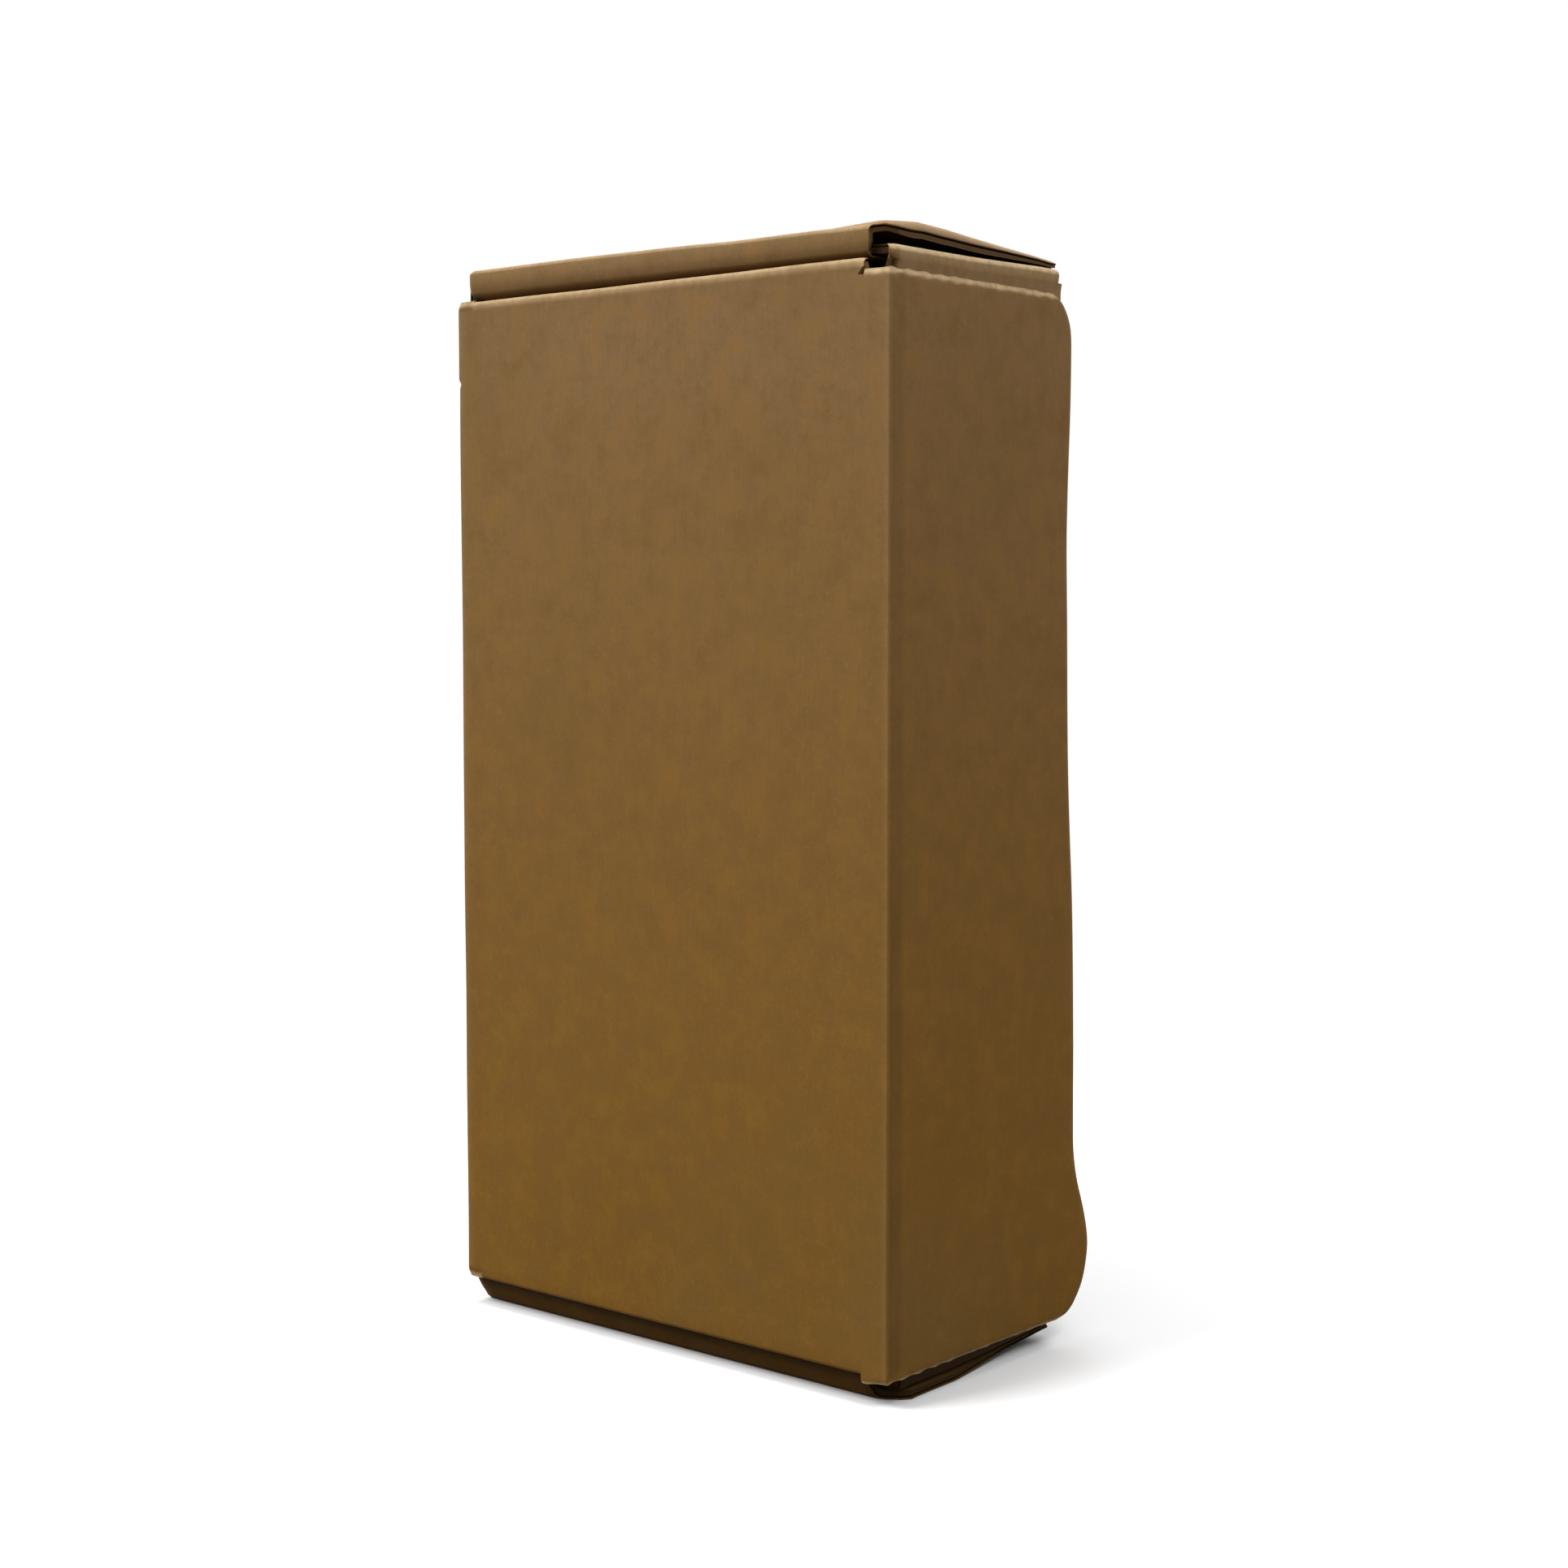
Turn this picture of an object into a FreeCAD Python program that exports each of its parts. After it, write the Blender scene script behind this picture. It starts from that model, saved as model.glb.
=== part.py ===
"""Closed corrugated mailer box, standing upright on one narrow end, in millimetres.

+Z runs up the long side, the lid faces -Y, the base panel is at +Y, the front wall with the tuck flap is at +X and
the wall that carries the lid is at -X. The origin is on the outer face of the bottom end.
"""
import FreeCAD, Part
import Sketcher
import os
from math import atan2, sin, tan

os.makedirs("parts", exist_ok=True)
doc = FreeCAD.newDocument("mailer_box")

sheet = doc.addObject("Spreadsheet::Sheet", "Sizes")

# name, value, what it is
DRIVING_SIZES = (
    ("board", "2.5", "thickness of the corrugated board"),
    ("lid_wide", "165", "lid, hinge fold to the tuck flap's outer face"),
    ("lid_tall", "300", "lid, fold to fold"),
    ("box_deep", "85", "lid's outer face to base panel's outer face"),
    ("bottom_roll", "8.0", "thickness of the bottom rolled wall, three boards"),
    ("top_roll", "8.9", "thickness of the looser top rolled wall"),
    ("top_sink", "2.3", "how much lower the top wall's outer board is at the base"),
    ("inner_sink", "1.5", "how much lower the top wall's inner board is at the base"),
    ("fold_gap", "0.4", "lid fold to rolled wall"),
    ("roll_back", "2.0", "top rolled wall's front edge behind the lid's face"),
    ("bottom_back", "6.5", "bottom rolled wall's front edge behind the lid's face"),
    ("roll_bend", "3.5", "outer radius of a rolled wall's bends"),
    ("roll_left", "5.5", "top rolled edge inset at the hinge side"),
    ("roll_right", "6.0", "top rolled edge inset from the front wall's face"),
    ("bottom_left", "1.6", "bottom rolled edge inset at the hinge side"),
    ("bottom_right", "8.0", "bottom rolled edge inset from the front wall's face"),
    ("end_left", "1.0", "end panel inset at the hinge side"),
    ("corner_cut", "6.5", "slanted corner of an end panel, along the depth"),
    ("wall_bend", "4.0", "outer radius where a side wall turns into its tab"),
    ("wall_corner", "3.0", "outer radius between base panel and side walls"),
    ("tab_long", "34", "tab of a side wall, between the boards of a rolled wall"),
    ("tab_drop", "1.9", "opening between top end panel and tab at the lid side"),
    ("wedge_long", "62", "length of that opening along the depth"),
    ("wall_gap", "0.3", "front wall to tuck flap"),
    ("hinge_gap", "0.1", "round fold to the board it turns in"),
    ("fold_lip", "1.2", "width left off a thin fold edge"),
    ("wall_short", "0.3", "side wall's free edge below the round fold"),
    ("slot_long", "30", "locking slot in the base panel"),
    ("slot_inset", "22", "locking slot's end to the side wall"),
    ("slot_play", "0.4", "gap around a locking tab"),
    ("tab_sunk", "0.6", "locking tab below the base panel's face"),
    ("crush_rise", "4.0", "bottom corner at base and front wall, pushed up"),
    ("crush_deep", "50", "length of that crush along the depth"),
    ("crush_wide", "45", "length of that crush along the width"),
    ("ear_long", "40", "lid ear, from the lid's face into the box"),
    ("ear_lean", "0.8", "lid ear's lean into the box at its free edge"),
    ("ear_left", "6", "lid ear's start from the hinge side"),
    ("ear_right", "16", "lid ear's free end from the flap's face"),
    ("ear_taper", "5", "lid ear's slant at both ends"),
    ("ear_round", "6", "lid ear's corner radius"),
    ("lid_step_wide", "9", "lid's lower corner beside the tuck flap"),
    ("flap_low", "3.0", "tuck flap's top edge below the lid's top fold"),
    ("flap_drop", "1.2", "tuck flap's bottom edge below the lid's bottom fold"),
    ("tear_wide", "0.7", "tear at the lid's top corner, width"),
    ("tear_long", "4.0", "tear at the lid's top corner, length"),
    ("flap_over", "0.4", "tuck flap past the base panel, top"),
    ("flap_waist", "1.0", "tuck flap short of the base panel at its waist"),
    ("waist_up", "218", "waist above the flap's bottom edge"),
    ("flap_belly", "5.2", "tuck flap past the base panel, lower half"),
    ("belly_top", "100", "top of the lower half's straight part"),
    ("belly_low", "47", "bottom of the lower half's straight part"),
    ("flap_spread", "13.5", "tuck flap past the base panel at its crushed corner"),
    ("spread_up", "21", "height of the crushed corner"),
    ("flap_end", "10.5", "crushed corner past the base panel at the bottom edge"),
    ("top_round", "12", "tuck flap's top corner radius"),
    ("low_round", "11", "tuck flap's bottom corner radius"),
    ("spread_round", "7", "radius at the crushed corner"),
    ("waist_round", "120", "radius of the waist"),
    ("belly_round", "60", "radius into the lower half"),
    ("edge_crush", "0.9", "pressed bevel along the tuck flap's cut edges"),
    ("crease_from", "2.6", "score beside the flap's fold, start"),
    ("crease_wide", "2.6", "score's width"),
    ("crease_sunk", "0.3", "score's depth"),
)


class Size:
    """A length with its formula: sketches get the number to draw with and the formula to stay linked by."""

    def __init__(self, value, formula):
        self.value = value
        self.formula = formula

    def _joined(self, other, sign, value):
        text = other.formula if isinstance(other, Size) else repr(other)
        return Size(value, "(" + self.formula + sign + text + ")")

    def __add__(self, other):
        return self._joined(other, " + ", self.value + number(other))

    def __sub__(self, other):
        return self._joined(other, " - ", self.value - number(other))

    def __mul__(self, other):
        return self._joined(other, " * ", self.value * number(other))

    def __truediv__(self, other):
        return self._joined(other, " / ", self.value / number(other))

    def __neg__(self):
        return self * -1


def number(value):
    return value.value if isinstance(value, Size) else value


sizes = {}
for row, (alias, text, meaning) in enumerate(DRIVING_SIZES, start=1):
    sheet.set("A%d" % row, meaning)
    sheet.set("B%d" % row, text)
    sheet.setAlias("B%d" % row, alias)
    sizes[alias] = Size(float(text), "Sizes." + alias)
doc.recompute()

board = sizes["board"]
left = sizes["lid_wide"] / -2
right = sizes["lid_wide"] / 2
front = sizes["box_deep"] / -2
back = sizes["box_deep"] / 2
lid_low = sizes["bottom_roll"] + sizes["fold_gap"]
lid_high = lid_low + sizes["lid_tall"]
box_top = lid_high + sizes["fold_gap"] + sizes["top_roll"]
wall_face = right - board - sizes["wall_gap"]
roll_front = front + sizes["roll_back"]
bottom_front = front + sizes["bottom_back"]
base_inside = back - board
wall_edge = front + board * 2 + sizes["wall_short"]
tab_top = box_top - board - sizes["tab_drop"]
roll_start = left + sizes["roll_left"]
roll_end = wall_face - sizes["roll_right"]
bottom_start = left + sizes["bottom_left"]
bottom_end = wall_face - sizes["bottom_right"]


def add_outline(sketch, corners):
    """Closes a loop through corners (x, y) or (x, y, radius); rounded corners become tangent arcs."""
    count = len(corners)
    points = [FreeCAD.Vector(number(c[0]), number(c[1]), 0) for c in corners]
    radii = [number(c[2]) if len(c) > 2 else 0 for c in corners]
    starts, ends, centres = [], [], []
    for i, point in enumerate(points):
        if not radii[i]:
            starts.append(point)
            ends.append(point)
            centres.append(None)
            continue
        before = (points[i - 1] - point).normalize()
        after = (points[(i + 1) % count] - point).normalize()
        half = before.getAngle(after) / 2
        reach = radii[i] / tan(half)
        starts.append(point + before * reach)
        ends.append(point + after * reach)
        centres.append(point + (before + after).normalize() * (radii[i] / sin(half)))
    lines = []
    for i in range(count):
        line = Part.LineSegment(ends[i], starts[(i + 1) % count])
        lines.append(sketch.addGeometry(line, False))
    for i, corner in enumerate(corners):
        line_in, line_out = lines[i - 1], lines[i]
        if centres[i] is None:
            sketch.addConstraint(Sketcher.Constraint("Coincident", line_in, 2, line_out, 1))
            place(sketch, line_out, 1, corner)
            continue
        arc = sketch.addGeometry(arc_between(centres[i], radii[i], starts[i], ends[i]), False)
        turns_left = (starts[i] - points[i - 1]).cross(ends[i] - starts[i]).z > 0
        first, last = (1, 2) if turns_left else (2, 1)
        peg = sketch.addGeometry(Part.Point(points[i]), True)
        place(sketch, peg, 1, corner)
        sketch.addConstraint(Sketcher.Constraint("PointOnObject", peg, 1, line_in))
        sketch.addConstraint(Sketcher.Constraint("PointOnObject", peg, 1, line_out))
        sketch.addConstraint(Sketcher.Constraint("Tangent", line_in, 2, arc, first))
        sketch.addConstraint(Sketcher.Constraint("Tangent", arc, last, line_out, 1))
        bind(sketch, Sketcher.Constraint("Radius", arc, radii[i]), corner[2])


def arc_between(centre, radius, start, end):
    """The short arc from start to end, as the counter-clockwise arc that FreeCAD keeps."""
    a, b = start - centre, end - centre
    if a.cross(b).z < 0:
        a, b = b, a
    circle = Part.Circle(centre, FreeCAD.Vector(0, 0, 1), radius)
    return Part.ArcOfCircle(circle, atan2(a.y, a.x), atan2(b.y, b.x))


def place(sketch, geometry, vertex, corner):
    bind(sketch, Sketcher.Constraint("DistanceX", -1, 1, geometry, vertex, number(corner[0])), corner[0])
    bind(sketch, Sketcher.Constraint("DistanceY", -1, 1, geometry, vertex, number(corner[1])), corner[1])


def bind(sketch, constraint, size):
    index = sketch.addConstraint(constraint)
    if isinstance(size, Size):
        sketch.setExpression("Constraints[%d]" % index, size.formula)


def add_sketch(body, name, plane, offset):
    """A sketch on one of the body's own planes, moved along that plane's axis to offset."""
    sketch = body.newObject("Sketcher::SketchObject", name)
    origin_plane = [p for p in body.Origin.OriginFeatures if p.Role == plane + "_Plane"][0]
    sketch.AttachmentSupport = [(origin_plane, "")]
    sketch.MapMode = "FlatFace"
    along = -offset if plane == "XZ" else offset
    sketch.AttachmentOffset = FreeCAD.Placement(FreeCAD.Vector(0, 0, along.value), FreeCAD.Rotation())
    sketch.setExpression("AttachmentOffset.Base.z", along.formula)
    return sketch


def extrude(body, name, plane, start, end, loops, cut=False):
    """Pads or pockets closed loops from start to end along the plane's positive axis."""
    sketch = add_sketch(body, name + "_sketch", plane, start)
    for loop in loops:
        if len(loop) == 1:
            add_circle(sketch, loop[0])
        else:
            add_outline(sketch, loop)
    feature = body.newObject("PartDesign::Pocket" if cut else "PartDesign::Pad", name)
    feature.Profile = sketch
    feature.Reversed = (plane == "XZ") != cut
    feature.Length = (end - start).value
    feature.setExpression("Length", (end - start).formula)
    doc.recompute()
    return feature


def add_circle(sketch, round_spot):
    centre = FreeCAD.Vector(number(round_spot[0]), number(round_spot[1]), 0)
    circle = sketch.addGeometry(Part.Circle(centre, FreeCAD.Vector(0, 0, 1), number(round_spot[2])), False)
    place(sketch, circle, 3, round_spot)
    bind(sketch, Sketcher.Constraint("Radius", circle, number(round_spot[2])), round_spot[2])


def box_loop(x_low, y_low, x_high, y_high):
    return [(x_low, y_low), (x_high, y_low), (x_high, y_high), (x_low, y_high)]


def make_tray():
    """Base panel, both side walls and both rolled end walls, folded from the same board."""
    body = doc.addObject("PartDesign::Body", "tray")
    hinge_end = front + board * 2 + sizes["hinge_gap"]
    walls = [
        (left, hinge_end), (left + board, hinge_end), (left + board, base_inside),
        (wall_face - board, base_inside), (wall_face - board, wall_edge), (wall_face, wall_edge),
        (wall_face, back, sizes["wall_corner"]), (left, back, sizes["wall_corner"]),
    ]
    extrude(body, "walls", "XY", board + sizes["wall_bend"], tab_top - sizes["wall_bend"], [walls])

    bend = sizes["roll_bend"]
    bottom = [
        (back, sizes["bottom_roll"]), (bottom_front, sizes["bottom_roll"], board), (bottom_front, board * 0, bend),
        (back, board * 0, bend),
    ]
    extrude(body, "bottom_end", "YZ", left + sizes["end_left"], wall_face, [bottom])
    top = [
        (back, box_top - sizes["top_roll"] - sizes["inner_sink"]),
        (back, box_top - sizes["top_sink"], bend), (roll_front, box_top, bend),
        (roll_front, box_top - sizes["top_roll"], board),
    ]
    extrude(body, "top_end", "YZ", left + sizes["end_left"], wall_face, [top])

    inner_low = box_top - sizes["top_roll"] - sizes["inner_sink"] - board
    rolls = (
        ("bottom", bottom_front, bottom_start, bottom_end, board, sizes["bottom_roll"] + board,
         board * -1, board + sizes["wall_bend"]),
        ("top", roll_front, roll_start, roll_end, inner_low, box_top - board - sizes["top_sink"],
         tab_top - sizes["wall_bend"], box_top + board),
    )
    slant = sizes["corner_cut"]
    for name, edge, start, end, trim_low, trim_high, low, high in rolls:
        trims = [
            box_loop(left - board, front - board, start, base_inside),
            box_loop(end, front - board, wall_face + board, base_inside),
        ]
        extrude(body, name + "_trim", "XY", trim_low, trim_high, trims, cut=True)
        corners = [
            [(start, front - board), (start, edge), (left, edge + slant), (left - board, front)],
            [(end, front - board), (wall_face + board, front), (wall_face, edge + slant), (end, edge)],
        ]
        extrude(body, name + "_corners", "XY", low, high, corners, cut=True)
    wedge = [
        (roll_front + board, tab_top - board), (roll_front + board * 3, tab_top - board),
        (roll_front + board * 3, tab_top), (roll_front + sizes["wedge_long"], tab_top),
        (roll_front + board, box_top - board - 0.1),
    ]
    extrude(body, "top_opening", "YZ", wall_face - sizes["tab_long"], wall_face + board, [wedge], cut=True)

    for name, outside, inside, tab_edge in (
        ("bottom_tabs", board, board * 2, bottom_front + board * 1.5),
        ("top_tabs", tab_top, tab_top - board, wall_edge + board / 2),
    ):
        upward = name == "bottom_tabs"
        reach = sizes["wall_bend"] + board * 2
        end = outside + reach if upward else outside - reach
        loops = []
        for face, within, tip in (
            (wall_face, wall_face - board, wall_face - sizes["tab_long"]),
            (left, left + board, left + sizes["tab_long"]),
        ):
            loops.append([
                (face, end), (face, outside, sizes["wall_bend"]), (tip, outside), (tip, inside),
                (within, inside, sizes["wall_bend"] - board), (within, end),
            ])
        extrude(body, name, "XZ", tab_edge, base_inside + board / 2, loops)

    slots = []
    tongues = []
    play = sizes["slot_play"]
    for low, high in (
        (board * 2, sizes["bottom_roll"]),
        (box_top - sizes["top_roll"] - sizes["inner_sink"], box_top - sizes["top_roll"] - sizes["inner_sink"] + board),
    ):
        for x_low, x_high in (
            (left + sizes["slot_inset"], left + sizes["slot_inset"] + sizes["slot_long"]),
            (wall_face - sizes["slot_inset"] - sizes["slot_long"], wall_face - sizes["slot_inset"]),
        ):
            slots.append(box_loop(x_low - play, low - play, x_high + play, high + play))
            tongues.append(box_loop(x_low, low, x_high, high))
    extrude(body, "slots", "XZ", base_inside, back + board, slots, cut=True)
    extrude(body, "locking_tabs", "XZ", base_inside - board, back - sizes["tab_sunk"], tongues)

    crush = body.newObject("PartDesign::SubtractiveLoft", "crushed_corner")
    wide = add_sketch(body, "crush_wide_sketch", "YZ", wall_face + 0.1)
    add_outline(wide, [
        (back - sizes["crush_deep"], board * -0.04), (back + board, board * -0.04),
        (back + board, sizes["crush_rise"]),
    ])
    thin = add_sketch(body, "crush_thin_sketch", "YZ", wall_face - sizes["crush_wide"])
    add_outline(thin, [(back - board, board * -0.04), (back + board, board * -0.04), (back + board, board * 0.01)])
    crush.Profile = wide
    crush.Sections = [thin]
    doc.recompute()
    return body


def make_lid():
    """Lid panel with an ear folded in at each end and the round fold that turns at the hinge wall."""
    body = doc.addObject("PartDesign::Body", "lid")
    tip = front + sizes["ear_long"]
    bend = board
    section = [
        (front, lid_low, bend), (front, lid_high, bend), (tip, lid_high - sizes["ear_lean"]),
        (tip, lid_high - sizes["ear_lean"] - board), (front + board, lid_high - board),
        (front + board, lid_low + board), (tip, lid_low + sizes["ear_lean"] + board),
        (tip, lid_low + sizes["ear_lean"]),
    ]
    fold_line = right - board
    extrude(body, "panel", "YZ", left + board, fold_line - sizes["fold_lip"], [section])
    ear_end = right - sizes["ear_right"]
    inside = front + board
    slant = sizes["ear_taper"]
    gap = board / 10
    trims = [
        [(left - board, inside + gap), (left + sizes["ear_left"], inside + gap),
         (left + sizes["ear_left"] + slant, tip, sizes["ear_round"]), (ear_end - slant, tip, sizes["ear_round"]),
         (ear_end, inside + gap), (right + board, inside + gap), (right + board, tip + board),
         (left - board, tip + board)],
    ]
    extrude(body, "ear_ends", "XY", lid_low - board, lid_high + board, trims, cut=True)
    step = [
        (right - sizes["lid_step_wide"], lid_high - sizes["flap_low"], board / 5),
        (right + board, lid_high - sizes["flap_low"]), (right + board, lid_high + board),
        (right - sizes["lid_step_wide"], lid_high + board),
    ]
    slit_x = right - sizes["lid_step_wide"]
    slit_z = lid_high - sizes["flap_low"]
    slit = [
        (slit_x + 0.1, slit_z + 0.1), (slit_x - sizes["tear_long"], slit_z - sizes["tear_long"] / 2),
        (slit_x + 0.1, slit_z - sizes["tear_wide"]),
    ]
    extrude(body, "corner_step", "XZ", front - board, inside + board, [step], cut=True)
    extrude(body, "tear", "XZ", front - board, inside + board, [slit], cut=True)
    seat = (fold_line, inside, board + sizes["hinge_gap"])
    extrude(body, "flap_seat", "XY", lid_low - board, lid_high + board, [[seat]], cut=True)
    fold = (left + board, inside, board)
    extrude(body, "hinge_fold", "XY", lid_low + board / 4, lid_high - board / 4, [[fold]])
    return body


def make_tuck_flap():
    """Tuck flap, left outside the front wall, with the round fold that joins it to the lid."""
    body = doc.addObject("PartDesign::Body", "tuck_flap")
    low = lid_low - sizes["flap_drop"]
    high = lid_high - sizes["flap_low"]
    inside = front + board
    outline = [
        (inside, low), (back + sizes["flap_end"], low, sizes["low_round"]),
        (back + sizes["flap_spread"], low + sizes["spread_up"], sizes["spread_round"]),
        (back + sizes["flap_belly"], low + sizes["belly_low"], sizes["spread_round"] * 2),
        (back + sizes["flap_belly"], low + sizes["belly_top"], sizes["belly_round"]),
        (back - sizes["flap_waist"], low + sizes["waist_up"], sizes["waist_round"]),
        (back + sizes["flap_over"], high, sizes["top_round"]), (inside, high),
    ]
    panel = extrude(body, "flap_panel", "YZ", right - board, right, [outline])
    bevel = body.newObject("PartDesign::Chamfer", "pressed_edge")
    bevel.Base = (panel, edges_but_fold(panel.Shape, inside.value))
    bevel.Size = sizes["edge_crush"].value
    bevel.setExpression("Size", sizes["edge_crush"].formula)
    doc.recompute()
    score = box_loop(
        right - sizes["crease_sunk"], inside + sizes["crease_from"], right + board,
        inside + sizes["crease_from"] + sizes["crease_wide"])
    extrude(body, "score", "XY", low - board, high + board, [score], cut=True)
    fold = (right - board, inside, board)
    extrude(body, "round_fold", "XY", low + board / 4, high - board / 4, [[fold]])
    return body


def edges_but_fold(shape, fold_y):
    """Outer-face edges of the flap's outline, without the one at the fold."""
    face_x = shape.BoundBox.XMax
    names = []
    for i, edge in enumerate(shape.Edges):
        box = edge.BoundBox
        if box.XMin > face_x - 0.01 and box.YMax > fold_y + 0.01:
            names.append("Edge%d" % (i + 1))
    return names


makers = (make_tray, make_lid, make_tuck_flap)
bodies = [make() for make in makers]
doc.recompute()
for body in bodies:
    body.Label = body.Name
    body.Placement = FreeCAD.Placement()
doc.recompute()
for item in doc.Objects:
    if "Invalid" in item.State or "Error" in item.State:
        raise RuntimeError("%s did not build: %s" % (item.Name, item.State))
for body in bodies:
    shape = body.Shape
    if shape.isNull() or not shape.isValid() or len(shape.Solids) != 1:
        raise RuntimeError("%s is not one valid solid" % body.Name)
    print(body.Label, "volume %.0f" % shape.Volume, "box", shape.BoundBox)
    shape.exportStep("parts/" + body.Label + ".step")
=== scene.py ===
"""Looks of the closed corrugated mailer box: every board is a folded sheet with pressed edges and open flutes.

Sizes are in millimetres, in the model's own frame (+Z up, lid towards -Y, tuck flap at +X), and become metres when a
mesh is made.
"""

import math

import bmesh
import bpy
import numpy as np
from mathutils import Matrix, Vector, noise


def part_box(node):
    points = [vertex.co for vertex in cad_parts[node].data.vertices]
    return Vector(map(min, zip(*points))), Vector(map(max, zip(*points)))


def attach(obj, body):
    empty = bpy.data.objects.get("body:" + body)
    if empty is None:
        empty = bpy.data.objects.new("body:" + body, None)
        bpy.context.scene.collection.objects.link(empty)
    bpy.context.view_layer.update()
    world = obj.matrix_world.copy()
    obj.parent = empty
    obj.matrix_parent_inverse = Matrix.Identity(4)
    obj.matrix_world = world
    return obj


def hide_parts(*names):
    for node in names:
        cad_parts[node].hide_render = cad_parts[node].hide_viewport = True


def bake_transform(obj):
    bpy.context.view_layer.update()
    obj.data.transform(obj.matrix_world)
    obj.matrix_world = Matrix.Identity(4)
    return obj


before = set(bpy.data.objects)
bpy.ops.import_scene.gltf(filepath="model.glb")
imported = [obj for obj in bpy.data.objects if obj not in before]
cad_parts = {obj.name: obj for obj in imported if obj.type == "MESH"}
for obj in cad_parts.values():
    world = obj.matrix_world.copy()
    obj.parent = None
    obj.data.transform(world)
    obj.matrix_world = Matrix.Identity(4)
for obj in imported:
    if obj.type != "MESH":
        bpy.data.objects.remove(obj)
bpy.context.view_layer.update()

MM = 0.001

# Sizes of the box, read from the frame where a node's corner gives them
lid_low, _ = (np.array(c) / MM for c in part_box("lid"))
flap_low, flap_high = (np.array(c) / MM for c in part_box("tuck_flap"))

BOARD = 2.5                      # thickness of the corrugated board
HALF = BOARD / 2
LINER = 0.32                     # paper on each side of the flutes
FLUTE = 6.6                      # pitch of the flutes
LEFT = lid_low[0]                # hinge fold
RIGHT = flap_high[0]             # tuck flap's outer face
FRONT = lid_low[1]               # lid's outer face
BACK = -FRONT                    # base panel's outer face
LID_LOW = 8.4                    # lid's bottom fold
LID_HIGH = 308.4                 # lid's top fold
TOP = LID_HIGH + 9.3             # top end, at the lid side
FLAP_LOW, FLAP_HIGH = flap_low[2], flap_high[2]
WALL_FACE = RIGHT - BOARD - 0.3  # front wall's outer face
BASE_INSIDE = BACK - BOARD
WALL_EDGE = FRONT + 2 * BOARD + 0.3
HINGE_EDGE = WALL_EDGE - 0.2
WALL_BEND = 4.0                  # outer radius from side wall to tab
TAB_TOP = TOP - BOARD - 1.9
TAB_LONG = 34.0                  # tab of a side wall, between the boards of a rolled wall
EAR_LONG = 40.0                  # lid ear, from the lid's face into the box
EAR_TIP = FRONT + EAR_LONG
EAR_LEAN = 0.8                   # its lean into the box at the free edge
EAR_END = RIGHT - 16.0           # its end towards the tuck flap
EAR_TAPER = 5.0
EAR_ROUND = 6.0
STEP_X = RIGHT - 9.0             # lid's lower corner beside the tuck flap
SEAM_X = LEFT + 6.5              # lid panel to its hinge fold
FLAP_TURN = FRONT + 9.0          # where the lid's fold ends on the tuck flap
CRUSH_WIDE, CRUSH_DEEP = 45, 50  # bottom corner at base and front wall, pushed up
CRUSH_RISE, CRUSH_TAB = 4.0, 2.6 # rise of its outer board and of the tab on it
END_CORNER = 6.5                 # slanted corner of an end panel
NICK = 283.7                     # height of the nick in the hinge fold
TEAR = 303.3                     # lower end of the tear beside the tuck flap
OPEN_DEEP = 2.6                  # how far the flutes are hollow at a cut edge
TIGHT = 0.25                     # inner radius of a fold


class Roll:
    """Where a rolled end wall starts, ends and folds."""

    def __init__(self, front, start, end, thick):
        self.front, self.start, self.end, self.thick = front, start, end, thick

    def slanted(self, y, inset, outset):
        """An end panel's side, slanted at the corner behind the fold."""
        share = float(np.clip((y - self.front - 0.6) / END_CORNER, 0, 1))
        return inset + (outset - inset) * share


TOP_ROLL = Roll(FRONT + 2.0, LEFT + 2.8, WALL_FACE - 6.0, 8.9)
BOTTOM_ROLL = Roll(FRONT + 6.5, LEFT + 1.6, WALL_FACE - 7.0, 8.0)
TOP_SINK, INNER_SINK = 2.3, 1.5  # how much lower the top's outer and inner boards are at the base
SLOTS = ((LEFT + 22, LEFT + 52), (WALL_FACE - 52, WALL_FACE - 22))
SLOT_PLAY = 0.4


# Lines and grids

EDGE_STEPS = (0.0, 0.35, 0.8, 1.4, 2.2, 3.4)   # samples behind a cut edge


def marks_along(length, step, start_dense=False, end_dense=False):
    """Shares of a straight run, without its end; a board's own ends are sampled more closely."""
    marks = list(np.linspace(0, length, max(2, int(length / step) + 1)))[:-1]
    if start_dense and length > 8:
        marks = sorted(set(EDGE_STEPS) | {m for m in marks if m > EDGE_STEPS[-1] + 1})
    if end_dense and length > 8:
        marks = [m for m in marks if m < length - EDGE_STEPS[-1] - 1]
        marks += [length - m for m in EDGE_STEPS[:0:-1]]
    return [m / length for m in marks]


def offset_line(points, gap):
    """The line moved to its right by gap, with mitred corners."""
    ahead = unit(np.diff(points, axis=0))
    right = np.stack([ahead[:, 1], -ahead[:, 0]], axis=1)
    out = [points[0] + right[0] * gap]
    for i in range(1, len(points) - 1):
        mitre = unit(right[i - 1] + right[i])
        out.append(points[i] + mitre * (gap / (mitre @ right[i])))
    return np.array(out + [points[-1] + right[-1] * gap])


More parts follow.
